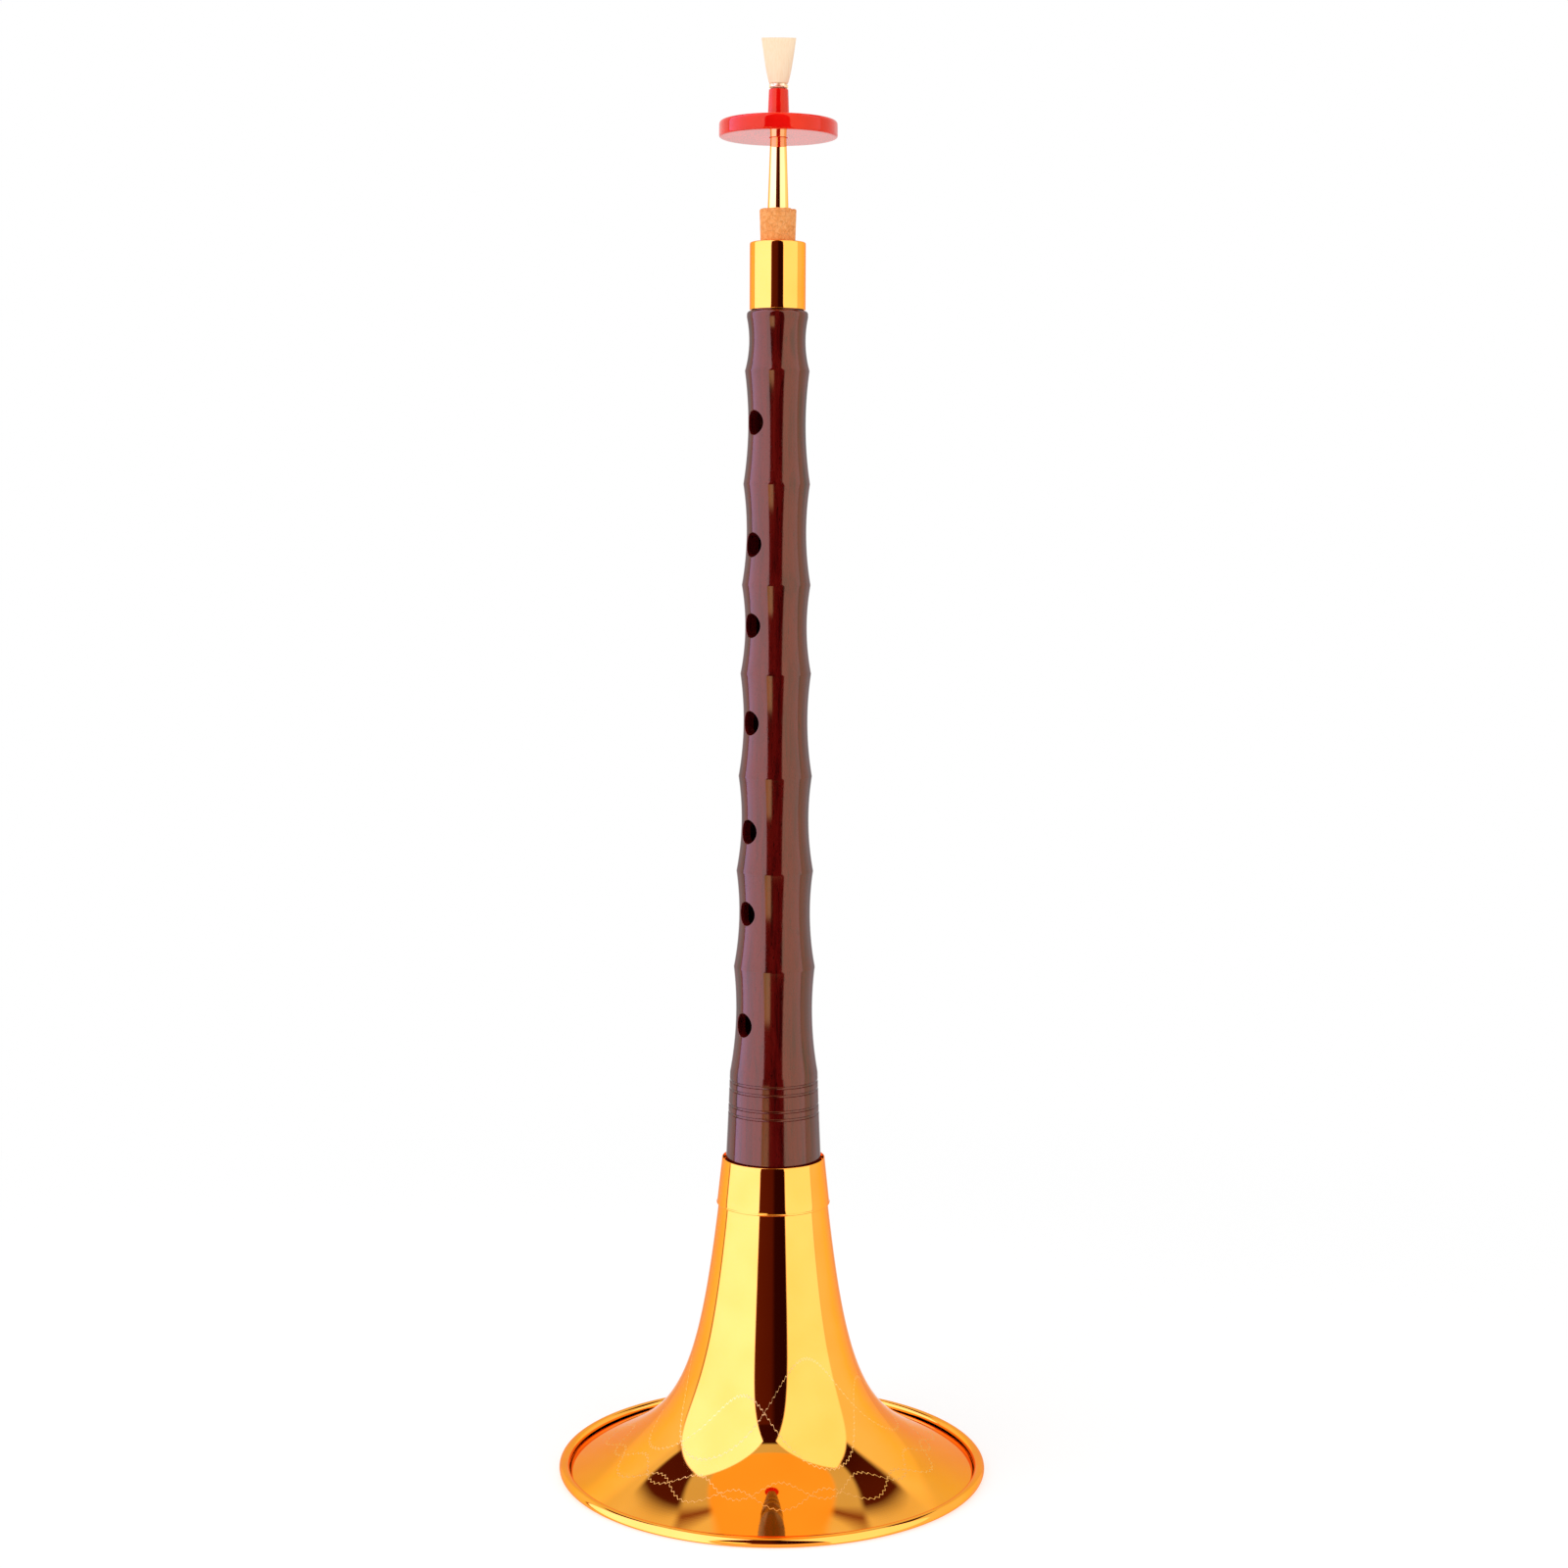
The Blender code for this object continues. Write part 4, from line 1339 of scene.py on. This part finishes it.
@dataclass(frozen=True)
class Studio:
    """Camera, soft light, pale floor and white surroundings."""

    facing: float = 54.0
    distance: float = 733.0 * MM
    height: float = 274.1 * MM
    tilt: float = 5.72
    roll: float = 0.3
    focal_pixels: float = 2637.0
    axis_offset: float = 9.0
    picture: float = 1600.0
    sensor: float = 36.0
    panel_glow: float = 2.25
    rings: tuple[GlowRing, ...] = (
        GlowRing(-90.0, ((-180.0, "#C8A8A0"), (180.0, "#C8A8A0"))),
        GlowRing(
            -24.0,
            (
                (-180.0, "#AEAEAE"), (-118.0, "#AEAEAE"), (-112.0, "#806050"), (-100.0, "#806050"),
                (-25.0, "#F4E4C0"), (-22.0, "#F8F8F8"), (-14.0, "#F8F8F8"), (-10.0, "#40180E"),
                (1.0, "#38120A"), (4.0, "#1C0403"), (18.0, "#180302"), (40.0, "#180302"),
                (100.0, "#AEAEAE"), (180.0, "#AEAEAE"),
            ),
        ),
        GlowRing(
            -8.0,
            (
                (-180.0, "#AEAEAE"), (-118.0, "#AEAEAE"), (-112.0, "#806050"), (-100.0, "#806050"),
                (-30.0, "#40180E"), (-2.0, "#38120A"), (4.0, "#1C0403"), (40.0, "#180302"),
                (100.0, "#AEAEAE"), (180.0, "#AEAEAE"),
            ),
        ),
        GlowRing(
            42.0,
            (
                (-180.0, "#B0B0B0"), (-145.0, "#B0B0B0"), (-141.0, "#38140C"), (-80.0, "#2A0804"),
                (80.0, "#180302"), (141.0, "#38140C"), (145.0, "#B0B0B0"), (180.0, "#B0B0B0"),
            ),
        ),
        GlowRing(
            58.0,
            (
                (-180.0, "#B0B0B0"), (-149.0, "#B0B0B0"), (-145.0, "#5A2A14"), (-141.0, "#9C9C9C"),
                (141.0, "#9C9C9C"), (145.0, "#5A2A14"), (149.0, "#B0B0B0"), (180.0, "#B0B0B0"),
            ),
        ),
        GlowRing(66.0, ((-180.0, "#BC9858"), (180.0, "#BC9858"))),
    )
    softboxes: tuple[SoftboxGlow, ...] = (
        SoftboxGlow(-132.0, (-0.36, 0.0), (0.36, 0.0), 0.78, "#BCBCBC"),
        SoftboxGlow(118.0, (-0.57, 0.0), (0.57, 0.0), 1.0, "#BCBCBC"),
        SoftboxGlow(-70.0, (-0.82, -0.1), (0.9, 0.245), 2.7, "#FFFFFF", 2.1),
        SoftboxGlow(60.0, (-0.72, -0.27), (0.53, 0.16), 2.5, "#E6E6E6", 1.45),
    )
    surround_glow: float = 1.0
    ambient: float = 0.5
    key_power: float = 8.5
    fill_power: float = 5.0

    def place_camera(self) -> None:
        """Stand the camera where the photographer stood."""
        turn_ = radians(self.facing)
        data = bpy.data.cameras.new("portrait_camera")
        data.sensor_width = self.sensor
        data.lens = self.focal_pixels * self.sensor / self.picture
        data.clip_start, data.clip_end = 0.01, 50.0
        camera = bpy.data.objects.new("portrait_camera", data)
        bpy.context.scene.collection.objects.link(camera)
        place = Vector((self.distance * sin(turn_), -self.distance * cos(turn_), self.height))
        aside = atan(self.axis_offset / self.focal_pixels)
        look = (
            Matrix.Rotation(turn_ - aside, 4, "Z")
            @ Matrix.Rotation(pi / 2 - radians(self.tilt), 4, "X")
            @ Matrix.Rotation(radians(self.roll), 4, "Z")
        )
        camera.matrix_world = Matrix.Translation(place) @ look
        bpy.context.scene.camera = camera

    def hang_lamps(self) -> None:
        """Hang two softboxes beside the camera and one over the object."""
        turn_ = radians(self.facing)
        # Name, degrees clockwise from the camera, metres away and up, metres across, and watts.
        lamps = (
            ("left_softbox", -62.0, 1.1, 0.75, 1.5, self.key_power),
            ("right_softbox", 58.0, 1.1, 0.75, 1.5, self.fill_power),
            ("top_softbox", 0.0, 0.25, 1.6, 1.2, self.fill_power),
        )
        for name, side, away, high, size, power in lamps:
            data = bpy.data.lights.new(name, "AREA")
            data.shape = "SQUARE"
            data.size = size
            data.energy = power
            lamp = bpy.data.objects.new(name, data)
            bpy.context.scene.collection.objects.link(lamp)
            azimuth = turn_ + radians(side)
            place = Vector((away * sin(azimuth), -away * cos(azimuth), high))
            lamp.location = place
            aim = Vector((0.0, 0.0, 0.2)) - place
            lamp.rotation_euler = aim.to_track_quat("-Z", "Y").to_euler()
            lamp.visible_glossy = False

    def lay_floor(self) -> None:
        """Lay the floor: a flat grid with a pale matt finish that turns to plain white further out."""
        half, lines = 3.0, np.linspace(-1.0, 1.0, 9)
        x, y = np.meshgrid(half * lines, half * lines)
        points = np.stack([x, y, 0 * x], axis=-1).reshape(-1, 3)
        row, column = np.meshgrid(np.arange(8), np.arange(8), indexing="ij")
        first = (row * 9 + column).reshape(-1, 1)
        faces = first + np.array([0, 1, 10, 9])
        mesh = bpy.data.meshes.new("studio_floor")
        mesh.from_pydata(points.tolist(), [], faces.tolist())
        mesh.materials.append(self.floor_finish())
        floor = bpy.data.objects.new("studio_floor", mesh)
        floor.visible_glossy = False
        bpy.context.scene.collection.objects.link(floor)

    def floor_finish(self) -> bpy.types.Material:
        """Matt white paper: half its brightness is its own to the camera, so that it keeps a pale shadow."""
        material, tree, shader = new_material("matt_white_paper")
        tree.nodes.remove(shader)
        place = add_node(tree, "TexCoord")
        far = add_node(tree, "VectorMath", {0: place.outputs["Object"]}, operation="LENGTH")
        fade = add_node(
            tree,
            "MapRange",
            {"Value": far.outputs["Value"], "From Min": 0.12, "From Max": 0.5},
            interpolation_type="SMOOTHSTEP",
        )
        paper = add_node(tree, "BsdfDiffuse", {"Color": linear("#BCBCBC")})
        glow = add_node(tree, "Emission", {"Strength": 0.56})
        near = add_node(tree, "AddShader", {0: paper.outputs[0], 1: glow.outputs[0]})
        white = add_node(tree, "Emission", {"Strength": 1.0})
        seen = add_node(tree, "MixShader", {0: fade.outputs[0], 1: near.outputs[0], 2: white.outputs[0]})
        plain = add_node(tree, "BsdfDiffuse", {"Color": linear("#F2F2F2")})
        path = add_node(tree, "LightPath")
        mixed = add_node(
            tree, "MixShader", {0: path.outputs["Is Camera Ray"], 1: plain.outputs[0], 2: seen.outputs[0]}
        )
        tree.links.new(mixed.outputs[0], tree.nodes["Material Output"].inputs["Surface"])
        return material

    def paint_surroundings(self) -> None:
        """Make the surroundings: white to the camera, an even soft light, and a studio to gloss.

        Gloss sees rings of walls and ceiling, and on them two bright softboxes either side of the camera
        with a dark gap between, and two weaker ones at the sides.
        """
        world = bpy.data.worlds.new("white_studio")
        bpy.context.scene.world = world
        world.use_nodes = True
        tree = world.node_tree
        tree.nodes.clear()
        place = add_node(tree, "TexCoord")
        turned = add_node(
            tree,
            "VectorRotate",
            {"Vector": place.outputs["Generated"], "Angle": radians(90.0 - self.facing)},
            rotation_type="Z_AXIS",
        )
        parts = add_node(tree, "SeparateXYZ", {0: turned.outputs[0]})
        azimuth = add_node(
            tree, "Math", {0: parts.outputs["Y"], 1: parts.outputs["X"]}, operation="ARCTAN2"
        )
        share = add_node(tree, "MapRange", {"Value": azimuth.outputs[0], "From Min": -pi, "From Max": pi})
        glow = None
        for ring in self.rings:
            stops = tuple(((angle + 180.0) / 360.0, code) for angle, code in ring.edges)
            around = add_node(tree, "ValToRGB", {"Fac": share.outputs[0]}, stops)
            if glow is None:
                glow = around.outputs["Color"]
                continue
            above = add_node(
                tree,
                "MapRange",
                {
                    "Value": parts.outputs["Z"],
                    "From Min": sin(radians(ring.from_elevation - ring.blur)),
                    "From Max": sin(radians(ring.from_elevation + ring.blur)),
                },
                interpolation_type="SMOOTHSTEP",
            )
            mixed = add_node(
                tree, "Mix", {0: above.outputs[0], 6: glow, 7: around.outputs["Color"]}, data_type="RGBA"
            )
            glow = mixed.outputs[2]
        for box in self.softboxes:
            mask = self.softbox_mask(tree, turned.outputs[0], box)
            red, green, blue, _ = linear(box.colour)
            light = (red, green, blue * box.coldness, 1.0)
            mixed = add_node(tree, "Mix", {0: mask, 6: glow, 7: light}, data_type="RGBA")
            glow = mixed.outputs[2]
        gloss = add_node(tree, "Background", {"Color": glow, "Strength": self.panel_glow})
        soft = add_node(tree, "Background", {"Color": PURE_WHITE, "Strength": self.ambient})
        white = add_node(tree, "Background", {"Color": PURE_WHITE, "Strength": self.surround_glow})
        path = add_node(tree, "LightPath")
        first = add_node(
            tree, "MixShader", {0: path.outputs["Is Glossy Ray"], 1: soft.outputs[0], 2: gloss.outputs[0]}
        )
        either = add_node(
            tree,
            "Math",
            {0: path.outputs["Is Camera Ray"], 1: path.outputs["Is Transmission Ray"]},
            operation="MAXIMUM",
        )
        last = add_node(tree, "MixShader", {0: either.outputs[0], 1: first.outputs[0], 2: white.outputs[0]})
        add_node(tree, "OutputWorld", {"Surface": last.outputs[0]})

    def softbox_mask(
        self, tree: bpy.types.NodeTree, direction: bpy.types.NodeSocket, box: SoftboxGlow
    ) -> bpy.types.NodeSocket:
        """Find where a direction meets a softbox.

        The direction, turned so that the box lies ahead, is divided by its forward part. The mask is the
        product of soft steps at the leaning left and right edges, at the top and at the plane itself.

        Args:
            tree: The world's node tree.
            direction: The direction, with the camera along +X.
            box: The softbox.

        Returns:
            The mask's socket.
        """
        ahead = add_node(
            tree,
            "VectorRotate",
            {"Vector": direction, "Angle": -radians(box.azimuth)},
            rotation_type="Z_AXIS",
        )
        parts = add_node(tree, "SeparateXYZ", {0: ahead.outputs[0]})
        depth = add_node(tree, "Math", {0: parts.outputs["X"], 1: 0.02}, operation="MAXIMUM")
        across = add_node(tree, "Math", {0: parts.outputs["Y"], 1: depth.outputs[0]}, operation="DIVIDE")
        height = add_node(tree, "Math", {0: parts.outputs["Z"], 1: depth.outputs[0]}, operation="DIVIDE")
        steps = []
        for (place, lean), sign in ((box.left, 1.0), (box.right, -1.0)):
            shift = add_node(
                tree,
                "Math",
                {0: height.outputs[0], 1: -lean, 2: across.outputs[0]},
                operation="MULTIPLY_ADD",
            )
            steps.append((shift.outputs[0], place - sign * box.blur, place + sign * box.blur))
        steps.append((height.outputs[0], box.top + 2 * box.blur, box.top - 2 * box.blur))
        steps.append((parts.outputs["X"], 0.05, 0.1))
        masks = []
        for value, low, high in steps:
            step = add_node(
                tree,
                "MapRange",
                {"Value": value, "From Min": low, "From Max": high},
                interpolation_type="SMOOTHSTEP",
            )
            masks.append(step.outputs[0])
        return reduce(
            lambda one, other: add_node(tree, "Math", {0: one, 1: other}, operation="MULTIPLY").outputs[0],
            masks,
        )

    def build(self) -> None:
        """Set up the whole studio."""
        self.place_camera()
        self.hang_lamps()
        self.lay_floor()
        self.paint_surroundings()
        bpy.context.scene.view_settings.view_transform = "Standard"


def main() -> None:
    """Build the studio, the finishes and the five parts of the instrument."""
    logging.basicConfig(level=logging.INFO, format="%(name)s: %(message)s")
    Studio().build()
    brass, wire = LacqueredBrass().make(), DrawnWire().make()
    pale = LacqueredBrass("lacquered_pale_brass", "#FFD074", "#F8C468").make()
    engraved = LacqueredBrass(
        "engraved_polished_brass",
        scrolls=(
            (68 * MM, 15 * MM, 3, 0.6),
            (74 * MM, 11 * MM, 4, 2.2),
            (91 * MM, 3.2 * MM, 11, 0.0),
            (94 * MM, -3.2 * MM, 11, 0.0),
        ),
    ).make()
    wood, cork = GlossRosewood().make(), TurnedCork().make()
    staple = Staple()
    Bell().build(engraved, brass, wire)
    Pipe().build(wood, cork, brass)
    staple.build(pale, cork)
    LipDisc().build(MouldedPlastic().make(), staple)
    Reed().build(ScrapedCane().make(), wire)


if __name__ == "__main__":
    main()
